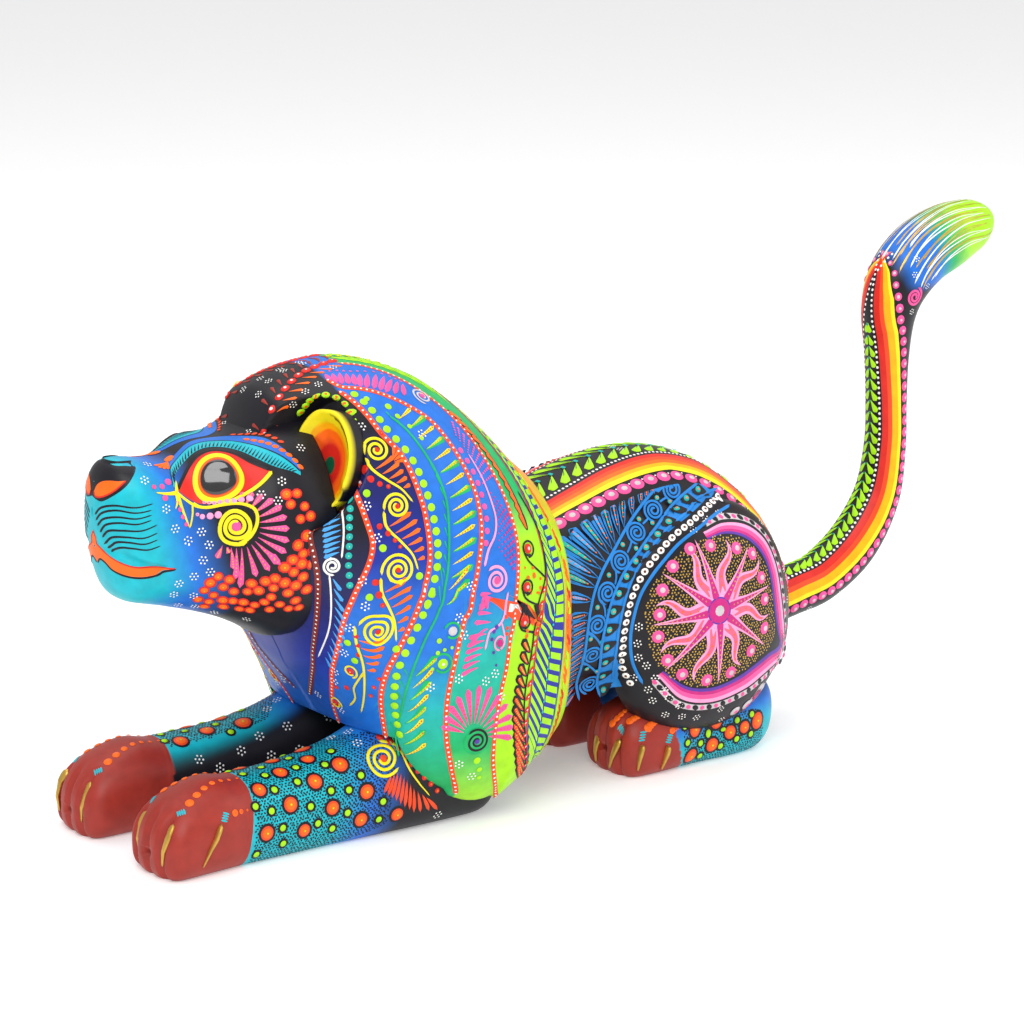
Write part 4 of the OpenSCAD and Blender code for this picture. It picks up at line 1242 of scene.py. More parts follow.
# %% [markdown]
# ## The face
# The muzzle fades from turquoise through blue to black, and everything else is drawn on top: a black nose with
# orange nostrils, an orange mouth, wavy whiskers, a red almond eye with a yellow and orange ring and a glossy black
# pupil, a feathered brow, a yellow line that ends in a curl on the cheek with a fan of pink petals, and orange
# scales on the jaw.

# %% Nose, mouth and whiskers
snout = Brush("snout", on_muzzle, "face_paint")
nose = path_through([(0, 2.2), (6, 1.8), (11, 2.0), (15.4, 2.6), (16.2, 5.2), (15.0, 8.4), (11.0, 11.8), (6, 14.4),
                     (3, 14.2), (0, 13.2)], 60)
middle = np.column_stack([np.zeros(60), nose[:, 1]])
snout.fill("black", nose, np.clip(nose * 0.02 + np.array([0, 8]) * 0.98, -1, 20), layer=1, across=16)
top = path_through([(0, 0.3), (6, 0.4), (12, 0.9), (15.4, 2.6)], 20)
snout.fill("black", top, path_through([(0, 4), (6, 4), (12, 4), (15.4, 4)], 20), layer=1, across=6)
nostril_top = path_through([(1.2, 11.4), (2.6, 8.8), (5, 7.2), (8.4, 6.6), (11.6, 6.6), (14.4, 6.3)], 40)
nostril_low = path_through([(1.2, 11.4), (2.2, 13.0), (4.8, 13.0), (8.6, 11.6), (11.8, 9.4), (14.4, 6.3)], 40)
snout.fill("orange", nostril_top, nostril_low, layer=2)
snout.stroke("red", nostril_low, 0.6, layer=3)
lip_top = path_through([(0, 26.6), (2.4, 29.8), (6, 33.2), (10.2, 35.7), (15.4, 37.7), (21, 38.7), (26.6, 39.3),
                        (32.6, 40.0)], 60)
lip_low = path_through([(0, 38.4), (2.6, 36.4), (5.5, 37.4), (8.2, 39.9), (12.6, 41.5), (18, 42.0), (25, 41.4),
                        (32.6, 40.0)], 60)
snout.fill("orange", lip_top, lip_low, layer=1)
snout.stroke("red", beside(lip_top, 0.25), 0.6, layer=2)
snout.stroke("black", beside(lip_low, 0.4), 0.8, layer=2)
for start, turn_point, finish in zip([(1.8, 20.4), (2.2, 22.6), (3.0, 24.6), (4.2, 26.8), (5.2, 28.4), (6.4, 30.4),
                                      (8.4, 31.9), (9.8, 33.4)],
                                     [(11.8, 15.4), (12.2, 17.3), (12.6, 20.0), (13.0, 22.2), (13.8, 24.9),
                                      (15.4, 27.1), (16.2, 28.9), (17.4, 31.0)],
                                     [(26.2, 14.7), (25.8, 17), (25.8, 18.8), (25.6, 20.7), (27.8, 22.6),
                                      (27.8, 25.6), (27.6, 28.2), (28.6, 30.6)]):
    start, turn_point, finish = np.array(start), np.array(turn_point), np.array(finish)
    path = path_through([start, start * 0.55 + turn_point * 0.45 + (-0.8, -1.2), turn_point,
                         turn_point * 0.5 + finish * 0.5 + (0.5, 0.9), finish], 26)
    snout.stroke("black", path, np.linspace(1.0, 0.4, 26), layer=1, tall=0.12)
snout.finish()

# %% Eye
EYE = np.array([-178.8, 26.2])
face = Brush("face", on_head, "face_paint")
lid_top = path_through([(-193.5, 21.2), (-190.2, 17.6), (-186.4, 14.8), (-182.4, 13.9), (-177.6, 15.2),
                        (-172.6, 19.4), (-167.0, 26.0), (-161.2, 32.4)], 60)
lid_low = path_through([(-193.5, 21.2), (-190.0, 25.2), (-186.2, 29.8), (-181.2, 34.2), (-175.6, 36.4),
                        (-170.0, 36.0), (-165.6, 34.6), (-161.2, 32.4)], 60)
face.fill("red", lid_top, lid_low, layer=1)
face.dots("yellow", [EYE], 9.6, layer=2, tall=0.02)
face.dots("orange", [EYE], 8.2, layer=3, tall=0.02)
face.dots("red", [EYE], 7.2, layer=4, tall=0.02)
face.dots("gloss_black", [EYE], 6.7, layer=5, tall=0.07)
face.stroke("black", lid_top, 1.3, layer=2)
face.stroke("yellow", beside(lid_low, 0.9), np.linspace(0.9, 1.5, 60), layer=3, tall=0.25)

# %% Brow
brow_low = path_through([(-194.2, 20.4), (-192.8, 15.6), (-189.0, 12.6), (-184.0, 11.2), (-178.4, 12.0),
                         (-172.6, 15.8), (-166.2, 22.6), (-159.5, 31.6), (-151.0, 40.6)], 90)
brow_mid = path_through([(-195.0, 19.4), (-193.0, 12.0), (-187.0, 7.6), (-180.4, 5.8), (-174.0, 6.6), (-167.8, 9.6),
                         (-162.2, 17.0), (-156.8, 27.0), (-150.6, 39.2)], 90)
brow_top = path_through([(-194.8, 18.6), (-190.6, 7.2), (-184.0, 3.4), (-177.6, 1.4), (-170.0, 1.6), (-163.6, 5.4),
                         (-158.4, 13.6), (-154.4, 24.0), (-150.2, 37.6)], 90)
face.fill("turquoise", brow_low, brow_mid, layer=1)
face.fill("blue", brow_mid, brow_top, layer=1)
face.stroke("black", brow_mid, np.linspace(0.3, 0.6, 90), layer=2)
for k in range(3, 84, 2):
    lash = np.stack([brow_low[k] * (1 - t) + brow_mid[min(k + 5, 89)] * t for t in np.linspace(0, 0.72, 6)])
    face.stroke("black", lash, np.linspace(0.75, 0.15, 6), layer=2, tall=0.1)
face.dots("orange", [(-190.0, 5.6)], 1.6, layer=4, stretch=1.7, turn=-35)
face.dots("red", [(-190.0, 5.6)], 0.9, layer=7, stretch=1.7, turn=-35)
for k, foot in enumerate([(-199.0, 8.4), (-197.4, 9.8), (-195.6, 10.8), (-193.8, 11.4)]):
    face.petal("orange", (-191.6, 7.6), 168 - 16 * k, 7.0 - 0.6 * k, 1.5, layer=3)
dashes = face.spaced([(-162, 12), (-157.4, 20.5), (-154.2, 27.5), (-151.2, 34.0), (-149.4, 39)], 3.1)
face.dots("orange", dashes, 0.85, layer=3, stretch=1.6, turn=60)
dashes = face.spaced([(-163, 4), (-159.0, 10.0), (-155.4, 17.0), (-152.0, 26)], 3.0)
face.dots("coral", dashes, 0.7, layer=3, stretch=1.8, turn=50)

# %% Yellow line, curl and pink fan on the cheek
star = np.array([-194.2, 22.2])
for tip, bow in (((-202.6, 21.6), 0.2), ((-193.2, 17.6), 0), ((-195.8, 28.0), 0.4), ((-190.9, 36.0), -0.4)):
    tip = np.array(tip)
    mid_point = (star + tip) / 2 + (bow, bow)
    face.stroke("yellow", path_through([star, mid_point, tip], 12), np.linspace(1.7, 0.35, 12), layer=4, tall=0.25)
under = path_through([(-190.9, 36.0), (-189.4, 31.5), (-188.6, 27.8), (-187.0, 30.0), (-183.2, 34.0), (-178.0, 37.4),
                      (-172.6, 40.4), (-169.2, 44.0),
                      (-169.0, 49.0), (-171.4, 53.2), (-175.6, 54.8)], 60)
face.stroke("yellow", under, np.linspace(0.6, 1.5, 60), layer=4, tall=0.25)
SPIRAL = (-175.4, 47.2)
face.curl("yellow", SPIRAL, 7.2, 2.7, 80, 1.5, 1, 0.2, layer=5)
face.dots("pink", [SPIRAL], 2.1, layer=4)
face.dots("rose", [SPIRAL], 0.9, layer=8)
angles = np.linspace(-52, 152, 17)
for k, a in enumerate(angles):
    foot = face.offset([SPIRAL], np.array([[[8.6 * math.cos(math.radians(a)),
                                             8.6 * math.sin(math.radians(a))]]]))[0, 0]
    long = np.interp(k, [0, 4, 9, 13, 16], [4.6, 10.5, 13.2, 10.4, 6.0])
    spine = face.petal("pink", foot, a, long, 2.7, layer=2, shape=1.3)
    face.dots("amber", spine[2:8], 0.27, layer=6, tall=0.5)
row = np.array([(-185.5, 31.6), (-184.0, 33.2), (-182.4, 34.8), (-180.4, 36.2), (-178.2, 37.6), (-176.0, 38.8),
                (-173.6, 39.6), (-170.8, 40.4)]) + (0.6, -1.1)
face.dots("rose", row, np.linspace(.55, 1.15, 8), layer=4, stretch=1.25, turn=40)
face.dots("coral", row, np.linspace(.25, .5, 8), layer=7)
row = np.array([(-187.7, 32.6), (-186.2, 34.6), (-183.6, 36.8), (-180.9, 38.9)])
face.dots("rose", row, [.7, 1.0, 1.3, 1.4], layer=3)
face.dots("coral", row, [.3, .4, .5, .6], layer=6)
row = np.array([(-202.7, 19.4), (-199.4, 19.3), (-196.4, 17.6), (-199.2, 23.6), (-194.4, 25.6), (-193.8, 28.4),
                (-193.0, 31.2), (-192.0, 34.2)])
face.dots("pink", row, [.9, 1.05, 1.3, 1.15, .85, .95, .95, .85], layer=3)
face.dots("coral", row, .35, layer=6)
face.cluster([(-199.4, 27.6), (-196.4, 35.2), (-191.6, 40.5), (-186.8, 39.8), (-184.3, 47.0), (-186.3, 51.0),
              (-183.6, 58.2), (-189.0, 55.6),
              (-194.0, 57.2), (-194.6, 62.6), (-187.4, 65.8), (-158.6, 38.6), (-166.4, 39.6), (-161.6, 44.4),
              (-190.5, 71), (-184.5, 76),
              (-176.5, 88), (-166, 97), (-200.5, 8), (-205.5, 16.5), (-157, 9), (-152.5, 14), (-146.5, 30)], 1.4)


# %% Orange scales on the jaw
def inside(outline, gap, loose=0.12):
    """Staggered spots a gap apart, a little out of line, kept where a ray to the side crosses the outline an odd
    number of times."""
    o = np.asarray(outline, float)
    low, high = o.min(0), o.max(0)
    x, y = np.meshgrid(np.arange(low[0], high[0], gap), np.arange(low[1], high[1], gap * 0.8))
    x = x + (np.arange(len(y)) % 2)[:, None] * gap / 2
    spots = np.column_stack([x.ravel(), y.ravel()])
    spots = spots + rng.uniform(-loose, loose, spots.shape) * gap
    a, b = o, np.roll(o, -1, axis=0)
    sx, sy, ax, ay, edge = spots[:, None, 0], spots[:, None, 1], a[None, :, 0], a[None, :, 1], (b - a)[None]
    crossed = ((ay > sy) != (b[None, :, 1] > sy)) & (sx < edge[..., 0] * (sy - ay) / (edge[..., 1] + 1e-9) + ax)
    return spots[crossed.sum(1) % 2 == 1]


def scales(brush, outline, gap, size):
    """Orange cobbles with red rims inside an outline: spots on a fine grid are taken in a random order, and each is kept
    where it stands at least a gap away from those kept before."""
    spots = inside(outline, 0.9)
    places = brush.surface(spots[:, 0], spots[:, 1])
    kept = []
    for k in rng.permutation(len(spots)):
        if not kept or np.linalg.norm(places[kept] - places[k], axis=1).min() > gap:
            kept.append(k)
    spots = spots[kept]
    r = size * rng.uniform(0.85, 1.1, len(spots))
    slant = rng.uniform(-25, 25, len(spots))
    brush.dots("red", spots, r, layer=2, tall=0.06, stretch=1.08, turn=slant)
    brush.dots("orange", spots, r * 0.66, layer=4, tall=0.16, stretch=1.1, turn=slant)
    brush.dots("amber", spots, r * 0.16, layer=9, tall=0.4)


scales(face, [(-158.8, 41.0), (-151.5, 44.5), (-150.6, 52), (-150.4, 66), (-150.8, 84), (-153.5, 96), (-162.5, 91),
              (-174, 84.5), (-183.5, 77.5),
              (-186.2, 69.0), (-185.0, 64.0), (-180.2, 62.2), (-174, 71.5), (-166, 72.5), (-158.6, 68),
              (-154.6, 60.5), (-155.4, 52.0), (-159.6, 46.0)], 3.7, 2.15)
face.finish()

# %% [markdown]
# ## The ears
# Each ear is a leaf-shaped cup on a peg, painted in nested bands from a dark green middle through red, orange and
# amber to a yellow rim. A row of bright green drops follows it on the black of the mane.


# %% Ear blocks
def ear_ground(points):
    """Nested bands in the cup, from dark green to yellow, and black on the back."""
    local = from_ear_frame(points)
    half = EAR["half_w"] * (1 - 0.22 * np.clip(local[:, 1] / 20, 0, 1) ** 2)
    at = np.hypot((local[:, 0] + 1.0) / half, (local[:, 1] + 3) / (EAR["half_h"] + 1))
    stops = [(0.0, "dark_green"), (0.16, "dark_green"), (0.18, "red"), (0.38, "red"), (0.41, "coral"),
             (0.52, "orange"), (0.64, "orange"),
             (0.67, "amber"), (0.76, "amber"), (0.79, "yellow"), (2, "yellow")]
    cup = fade(at, *stops)
    in_cup = np.where((at < 0.93) & (local[:, 2] > 2), 1, smooth_step(local[:, 2], 8.6, 9.6))
    return mix(plain(points, "black"), cup, in_cup)


colours = ear_ground(ear_points)
new_piece("ear_block_left", ear_points, ear_faces, ground_paint, "ear_paint", node="ear_left", ground=colours)
new_piece("ear_block_right", *mirrored(ear_points, ear_faces), ground_paint, "ear_paint", node="ear_right",
          ground=colours)

# %% [markdown]
# ## The back and flanks
# Warm stripes run along both sides of the spine, with a ladder of lime leaves between them and a row of pink pearls
# below. On the flank a fan of blue petals, a lattice of curls and a row of leaf points follow the curve of the
# haunch.

# %% Spine, stripes and pearls
body = Brush("body", on_torso, "black_ground")
x_back = np.linspace(-57, 84, 140)
stripe_top = np.interp(x_back, [-57, -10, 10, 30, 48, 57, 64, 74, 84], [15.5, 15, 13.5, 12, 12.5, 16, 21, 28, 32])
stripe_low = np.interp(x_back, [-57, -13, 5, 30, 43, 54, 62, 74, 84], [24.5, 25.2, 24.7, 24, 26.8, 31.2, 34.5, 39,
                                                                       42])


def stripe(share):
    """A line between the top and the bottom edge of the stripes."""
    return np.column_stack([x_back, stripe_top * (1 - share) + stripe_low * share])


for colour, low, high in (("red", 0, 0.21), ("coral", 0.21, 0.4), ("orange", 0.4, 0.6), ("amber", 0.6, 0.78),
                          ("yellow", 0.78, 1.0)):
    body.fill(colour, stripe(low), stripe(high), layer=1, across=3)
row = body.spaced(beside(stripe(0), -1.7), 2.0)
body.dots("white", row, 0.62, layer=2, tall=0.5)
row = body.spaced(beside(stripe(1), 3.4), 6.6)
body.dots("pink", row, np.interp(row[:, 0], [-57, 20, 84], [2.9, 2.7, 2.1]), layer=2, stretch=1.16)
body.dots("pearl", row, np.interp(row[:, 0], [-57, 20, 84], [1.45, 1.35, 1.0]), layer=7, stretch=1.2)
body.dots("white", row + (3.3, -1.4), 0.4, layer=2)
for x in np.arange(-56, 84, 6.2):
    edge = float(np.interp(x + 5, x_back, stripe_top)) - 3.6
    body.petal("lime", (x + 6, 0.9), 180 - np.degrees(np.arctan2(edge - 1, 7.0)), np.hypot(7.4, edge - 1), 5.0,
               layer=2, shape=1.0)
    body.stroke("dark_green", np.array([(x + 5.4, 1.0), (x + 2.6, edge * 0.5), (x - 0.6, edge * 0.9)]),
                [0.5, 0.35, 0.2], layer=6)
    body.dots("teal", [(x + 6.2, 0.6)], 0.8, layer=7)
body.cluster([(-50, 62), (-48, 80), (-50, 98), (20, -3), (66, 46), (72, 52), (80, 47), (86, 40)], 1.4)
body.finish()

# %% Fan, lattice and leaf points on the flank
flank = Brush("flank", on_haunch, "black_ground")


def at_index(points, t):
    """The place on a polyline at a number of points along it."""
    points = np.asarray(points, float)
    return np.column_stack([np.interp(t, np.arange(len(points)), column) for column in points.T])


fan_tip = [(-29.5, 76), (-33.5, 51.5), (-35, 36.5), (-36, 19), (-34.5, 6.5), (-22, 0), (-11, -4.6), (-1.4, -7.6),
           (7.6, -9), (14, -9.8)]
fan_foot = [(-24, 71), (-27, 47), (-26.5, 35.5), (-22.6, 26), (-18.6, 19.9), (-14, 14.9), (-10.4, 11.5), (-4.4, 6),
            (6, -1.2), (12, -5)]
fan_t = np.concatenate([np.linspace(0, 1, 10)[:-1], np.linspace(1, 2, 5)[:-1], np.linspace(2, 9, 15)])
for k, (tip, foot) in enumerate(zip(at_index(fan_tip, fan_t), at_index(fan_foot, fan_t))):
    wide = float(np.interp(fan_t[k], [0, 1, 2, 3, 4, 6, 8, 9], [2.3, 3.2, 4.2, 5.4, 5.6, 4.4, 3.6, 2.6]))
    shape = np.array([0.25, 0.5, 0.75, 0.95, 1.0, 0.86, 0.5])
    along_petal = np.array([0, 0.25, 0.5, 0.75, 0.88, 0.96, 1.0])[:, None]
    flank.stroke("azure", foot + (tip - foot) * along_petal, wide * shape, layer=1, tall=0.1)
    flank.stroke("black", foot + (tip - foot) * (0.06 + 0.88 * along_petal), (wide - 1.4) * shape, layer=3, tall=0.08)
    flank.stroke("teal" if k % 2 else "sky", foot + (tip - foot) * (0.25 + 0.62 * along_petal),
                 max(wide - 3.4, 0.7) * shape, layer=5, tall=0.1)
    flank.dots("orange", foot + (tip - foot) * np.linspace(0.3, 0.86, 6)[:, None], 0.34, layer=8, tall=0.5)
line_a = path_through([(-22, 75), (-25.5, 60.5), (-27, 45), (-25, 30.5), (-19.7, 21), (-11, 12.5), (-0.5, 3.5),
                       (11.5, -4.8), (22, -10.5)], 60)
line_b = path_through([(-12, 75), (-16.5, 62), (-19.7, 50), (-18.7, 40), (-15.7, 30.5), (-9.7, 22), (-0.5, 14.5),
                       (11, 6), (22, -0.8), (36, -6.5)], 60)
line_c = path_through([(-2.6, 70), (-7.6, 59), (-9.6, 47.5), (-8.5, 38), (-5.5, 29.5), (-0.5, 22.5), (5, 17),
                       (13.5, 10.5), (24.5, 5.5), (36, 1.6), (46, 0)], 60)
flank.fill("azure", line_b, line_c, layer=1, across=6)
flank.stroke("azure", line_a, 1.2, layer=3)
flank.stroke("azure", line_b, 1.2, layer=9)
CURLS = np.array([(-17.6, 68.5), (-22.6, 54), (-22.6, 41), (-17.8, 28.5), (-9.8, 17.4), (0.6, 8), (11.2, 1),
                  (22.4, -5.4)])
for k, spot in enumerate(CURLS):
    flank.curl("azure", spot, 4.8, 2.6, 100, 0.95, 1, 0.15, layer=3)
    if k:
        far, near = CURLS[k - 1], spot
        flank.stroke("azure", path_through([far + (3.6, -2.6), far * 0.55 + near * 0.45 + (1.0, -0.6),
                                            near + (-3.2, 2.4)], 14), 0.85, layer=3)
        middle = (far + near) / 2
        pair = np.array([middle + (2.9, 0.9), middle + (-2.6, -1.1)])
        flank.dots("teal", pair, 1.05, layer=3)
        flank.dots("orange", pair, 0.45, layer=8)
for k in range(1, 59, 4):
    foot, tip = line_b[k], line_c[k] + (line_b[k] - line_c[k]) * 0.22
    path = foot + (tip - foot) * np.linspace(-0.1, 1, 7)[:, None]
    flank.stroke("black", path, np.array([4.2, 5.2, 5.1, 4.4, 3.2, 1.7, 0.2]), layer=6, tall=0.06)
    flank.dots("teal", [foot + (tip - foot) * 0.3], 1.35, layer=9)
    flank.dots("orange", [foot + (tip - foot) * 0.3], 0.55, layer=15)
flank.stroke("black", line_c, 4.9, layer=4, tall=0.04)
flank.stroke("azure", beside(line_c, -2.9), 1.3, layer=5)
flank.stroke("azure", beside(line_c, 2.9), 1.3, layer=5)
row = flank.spaced(line_c, 3.5)
flank.dots("white", row, 1.42, layer=5, stretch=1.18, turn=np.linspace(0, -60, len(row)))
flank.dots("brown", row, 0.6, layer=12)
flank.cluster([(-4, 44), (-4, 51), (-3, 57), (0, 60.5), (-3, 66), (3.5, 66), (2, 71), (7.5, 71.5), (10, 75), (15, 79),
               (4.5, 76), (11, 83), (18, 84.5),
               (25, 86), (23, 8.6), (30.5, 5.5), (38, 4.5), (-42, 30), (-42, 50), (-40, 70)], 1.4)
flank.finish()

# %% [markdown]
# ## The haunch
# The haunch carries a sun: a round field of tiny gold dots, eight straight rays, eight wavy flames and a ring of
# pink dots with grey middles. A border of violet, magenta and pink swells to a point at the back.

# %% Sun disc and its border
sun = Brush("sun", on_haunch, "haunch_paint")
SUN = np.array([29.0, 40.5])
field = path_through([(-2, 37.5), (2.5, 26.5), (12.5, 17.5), (24.5, 12.8), (37, 12), (47, 15.5), (54.5, 23.5),
                      (58, 33), (59.5, 44), (61.5, 55), (60, 60),
                      (50, 65), (38, 70), (26, 72), (14, 69), (5, 62), (0, 51), (-2, 37.5)], 120)
sun.dots("gold", inside(field, 1.42, 0.24), 0.36, layer=1, tall=0.3)
inner = path_through([(28, 12.6), (37, 11.6), (46.5, 14.4), (54, 21), (58, 30), (59.8, 42), (63, 54.5), (66.5, 62),
                      (58, 63.8), (49, 67), (40, 70.5), (28, 72.8),
                      (16, 70.5), (6, 63)], 90)
outer = path_through([(27, 9.8), (38, 7.8), (50, 10.4), (59, 17.5), (63.5, 28), (66, 42), (70.5, 58), (77.5, 71.5),
                      (67, 70.5), (57.5, 72.5), (47, 76.5),
                      (30, 79.5), (15, 76), (4, 65)], 90)
for colour, low, high in (("violet", 0, 0.22), ("magenta", 0.22, 0.44), ("pink", 0.44, 0.74), ("rose", 0.74, 1)):
    sun.fill(colour, inner * (1 - low) + outer * low, inner * (1 - high) + outer * high, layer=1, across=2)
chain = beside(outer, -2.2)
sun.stroke("pearl", chain, 2.8, layer=1, tall=0.05)
row = sun.spaced(chain, 3.4)
sun.dots("black", row[::2], 1.15, layer=3, stretch=1.5, turn=45, tall=0.1)
sun.dots("pink", row[1::2], 0.95, layer=3, stretch=1.3, turn=45)
ROSETTE = np.array([52.0, 85.5])
for k, a in enumerate(np.linspace(-58, 62, 9)):
    petal = sun.petal("pearl", ROSETTE, a, 15.5 - abs(k - 4), 3.4, layer=1, shape=1.3)
    sun.stroke("black", petal[2:8], 1.7, layer=4, tall=0.06)
    sun.stroke("pink", petal[2:7], 0.8, layer=6, tall=0.1)
sun.dots("pearl", [ROSETTE, ROSETTE - (6.5, -1.5)], 2.5, layer=4)
sun.dots("pink", [ROSETTE, ROSETTE - (6.5, -1.5)], 1.3, layer=9)
sun.cluster([(36, 84), (40, 90), (62, 12), (68, 20), (71, 32), (73, 45)], 1.3)

# %% Rays, flames and pearls of the sun
for tip in ((2, 36.5), (16, 15), (36, 13.5), (52, 23), (56.5, 46), (42, 65), (19.5, 69), (4.5, 56)):
    way = np.array(tip) - SUN
    across_way = np.array([-way[1], way[0]]) / np.hypot(*way)
    t = np.linspace(0, 1, 26)
    path = SUN + way * t[:, None] + across_way * (2.3 * np.sin(t * 8.6 + 0.6) * np.clip(t * 1.7 - 0.15, 0, 1))[:, None]
    width = np.interp(t, [0, 0.22, 0.42, 0.75, 1], [1.0, 7.6, 5.2, 3.0, 0.4])
    sun.stroke("rose", path, width, layer=3, tall=0.1)
    sun.stroke("salmon", path[:-2], np.clip(width[:-2] - 1.3, 0.2, 9), layer=5, tall=0.08)
    sun.dots("orange", path[6:22:3], 0.5, layer=8)
for tip in ((6, 23.5), (1, 43.5), (6.5, 62.5), (30.5, 71), (54, 59), (56.5, 35), (47, 18), (22, 12)):
    path = SUN + (np.array(tip) - SUN) * np.linspace(0, 1, 16)[:, None]
    width = np.interp(np.linspace(0, 1, 16), [0, 0.2, 0.5, 1], [7.4, 6.2, 3.0, 0.4])
    sun.stroke("rose", path, width, layer=6, tall=0.1)
    sun.stroke("magenta", path[:-1], np.clip(width[:-1] - 1.2, 0.15, 9), layer=8, tall=0.08)
    sun.dots("gold", path[4:14], 0.36, layer=11, tall=0.5)
for colour, r, layer in (("rose", 6.6, 9), ("violet", 5.9, 10), ("magenta", 5.2, 11), ("white", 3.4, 12),
                         ("magenta", 3.0, 13), ("pearl", 2.2, 14)):
    sun.dots(colour, [SUN], r, layer=layer, tall=0.03)
ring = np.array([(28.5, 15), (41, 17.6), (49, 21), (52.5, 31), (54, 40), (54, 52), (46.5, 60), (36.5, 67.5), (25, 69),
                 (13.5, 65), (7.2, 58.5), (3.2, 48.5), (3.6, 39.5),
                 (5.2, 29.8), (10.5, 21), (19.2, 15.2)])
sun.dots("pink", ring, 2.6, layer=2)
sun.dots("pearl", ring, 1.35, layer=7)
sun.finish()
print("sun disc: radius about 29 mm, 16 pearls in its ring")

# %% [markdown]
# ## Legs, paws and claws
# The painter leaves the paws brick red with gold claws, light blue dashes and a row of orange dots up each toe.
# Above the cuff the turquoise is netted with tiny black marks, and orange and lime dots with black haloes are
# scattered over it.


# %% Scattered dots with haloes
def haloes(brush, orange_at, lime_at, net):
    """Tiny black marks inside an outline, then orange and lime dots, each on a black halo."""
    marks = inside(net, 1.36, 0.18)
    brush.dots("black", marks, 0.36, layer=1, tall=0.15, stretch=1.5, turn=rng.uniform(0, 180, len(marks)))
    big, small = np.array(orange_at, float), np.array(lime_at, float)
    r = 2.9 * rng.uniform(0.86, 1.1, len(big))
    brush.dots("black", big, r + 1.0, layer=2, tall=0.02)
    brush.dots("coral", big, r, layer=4, tall=0.1)
    brush.dots("orange", big, r * 0.74, layer=7, tall=0.1)
    brush.dots("lime", big, r * 0.14, layer=12)
    brush.dots("black", small, 2.25, layer=2, tall=0.02)
    brush.dots("lime", small, 1.3, layer=4)


def toe_marks(brush, rows, dashes):
    """A row of orange dots that shrink up each toe, and three light blue dashes over each claw."""
    for row in rows:
        count = 7 if len(row) > 3 else 3
        path = path_through(row, count)
        brush.dots("orange", path, np.linspace(1.75, 0.6, count) * (1 if len(row) > 3 else 0.8), layer=2)
        brush.dots("coral", path, np.linspace(0.7, 0.25, count), layer=7)
    for spot, lean in dashes:
        for k in range(4):
            centre = np.array(spot) + (0.9 * (k - 1.5) * math.cos(math.radians(lean)),
                                       0.9 * (k - 1.5) * math.sin(math.radians(lean)))
            brush.dots("turquoise", [centre], 0.4, layer=2, stretch=3.6, turn=lean + 90, tall=0.5)


def claw(points, root, tip):
    """A gold claw: a round bar that tapers along a path, half sunk in the paw."""
    path = at_index(points, np.linspace(0, len(points) - 1, 16))
    way = np.gradient(path, axis=0)
    side = np.cross(way, [1.0, 0, 0.3])
    side /= np.linalg.norm(side, axis=1, keepdims=True)
    up = np.cross(side, way)
    up /= np.linalg.norm(up, axis=1, keepdims=True)
    t = np.linspace(0, 1, 16)
    r = (root * (1 - t) + tip * t) * np.sqrt(np.clip(1 - (1 - np.clip(t * 5, 0, 1)) ** 2, 0.01, 1))
    a = np.linspace(0, 2 * math.pi, 12, endpoint=False)
    ring = np.cos(a)[None, :, None] * side[:, None] + np.sin(a)[None, :, None] * up[:, None] * 0.5
    return skin(path[:, None] + r[:, None, None] * ring)


FORE_CLAWS = [[(-211.3, -40.6, 22), (-214.3, -41.6, 17.4), (-216.2, -41, 12), (-216.0, -39.8, 6.4)],
              [(-194.6, -46.9, 20.4), (-197.2, -47.6, 15.4), (-200.2, -47.6, 10.8), (-202.6, -46.6, 5.2)],
              [(-211.6, -21.8, 22), (-214.2, -21.2, 17.4), (-216.0, -21.8, 12), (-215.6, -22.8, 6.4)],
              [(-196, -16.0, 20), (-199, -15.4, 15), (-202, -15.6, 10.6), (-204, -16.4, 5.4)]]
HIND_CLAWS = [[(-1.9, -33.2, 16), (-3.6, -32.6, 12), (-4.6, -31.4, 8), (-4.2, -29.4, 3.4)],
              [(2.6, -42.4, 15), (1.6, -42.6, 11.5), (1, -42.3, 7.9), (1, -41.4, 4.2)],
              [(14.6, -43.8, 12.8), (13.9, -43.9, 9.7), (13.1, -43.2, 6.5), (12.6, -41.8, 2.8)],
              [(-3.2, -21.6, 15.5), (-4.4, -20.8, 11.5), (-4.8, -20.4, 7.8), (-4.2, -20.2, 3.6)]]
for leg, slot, claws in (("fore", "leg_paint", FORE_CLAWS), ("hind", "haunch_paint", HIND_CLAWS)):
    for k, path in enumerate(claws):
        points, faces = claw(path, 2.1, 0.5)
        new_piece("%s_claw_%d_left" % (leg, k), points, faces, paints["gold"], slot)
        new_piece("%s_claw_%d_right" % (leg, k), *mirrored(points, faces), paints["gold"], slot)

# %% Foreleg dots, curl and petals
fore = Brush("fore", on_foreleg, "leg_paint")
haloes(fore, [(-175, 12.5), (-162.5, 7), (-148.5, 4.5), (-139, 13), (-151.5, 15.5), (-164, 21), (-146, 27.5),
              (-131, 27.5), (-175, 29.5), (-158.5, 32.5),
              (-133.5, 37.5), (-117.5, 44.5), (-159, -4), (-172, -7), (-144, -6)],
       [(-176, 2), (-169, 6.5), (-169, 14), (-158.5, 13.5), (-155.5, 7), (-138.5, 5.5), (-144.5, 10.5),
        (-132.5, 20.5), (-146, 21), (-138.5, 23.5), (-155.5, 24),
        (-179, 18.5), (-172.5, 21.5), (-168, 29), (-167.5, 35.5), (-179, 37.5), (-152.5, 31.5), (-146, 35.8),
        (-139.5, 32), (-124, 35), (-125.5, 41.5),
        (-153.5, -1), (-166.5, 0), (-178, -5), (-151, -9)],
       [(-177.6, -9), (-135, -9), (-122, 6), (-118, 26), (-122, 46), (-181, 44), (-179.4, 20)])
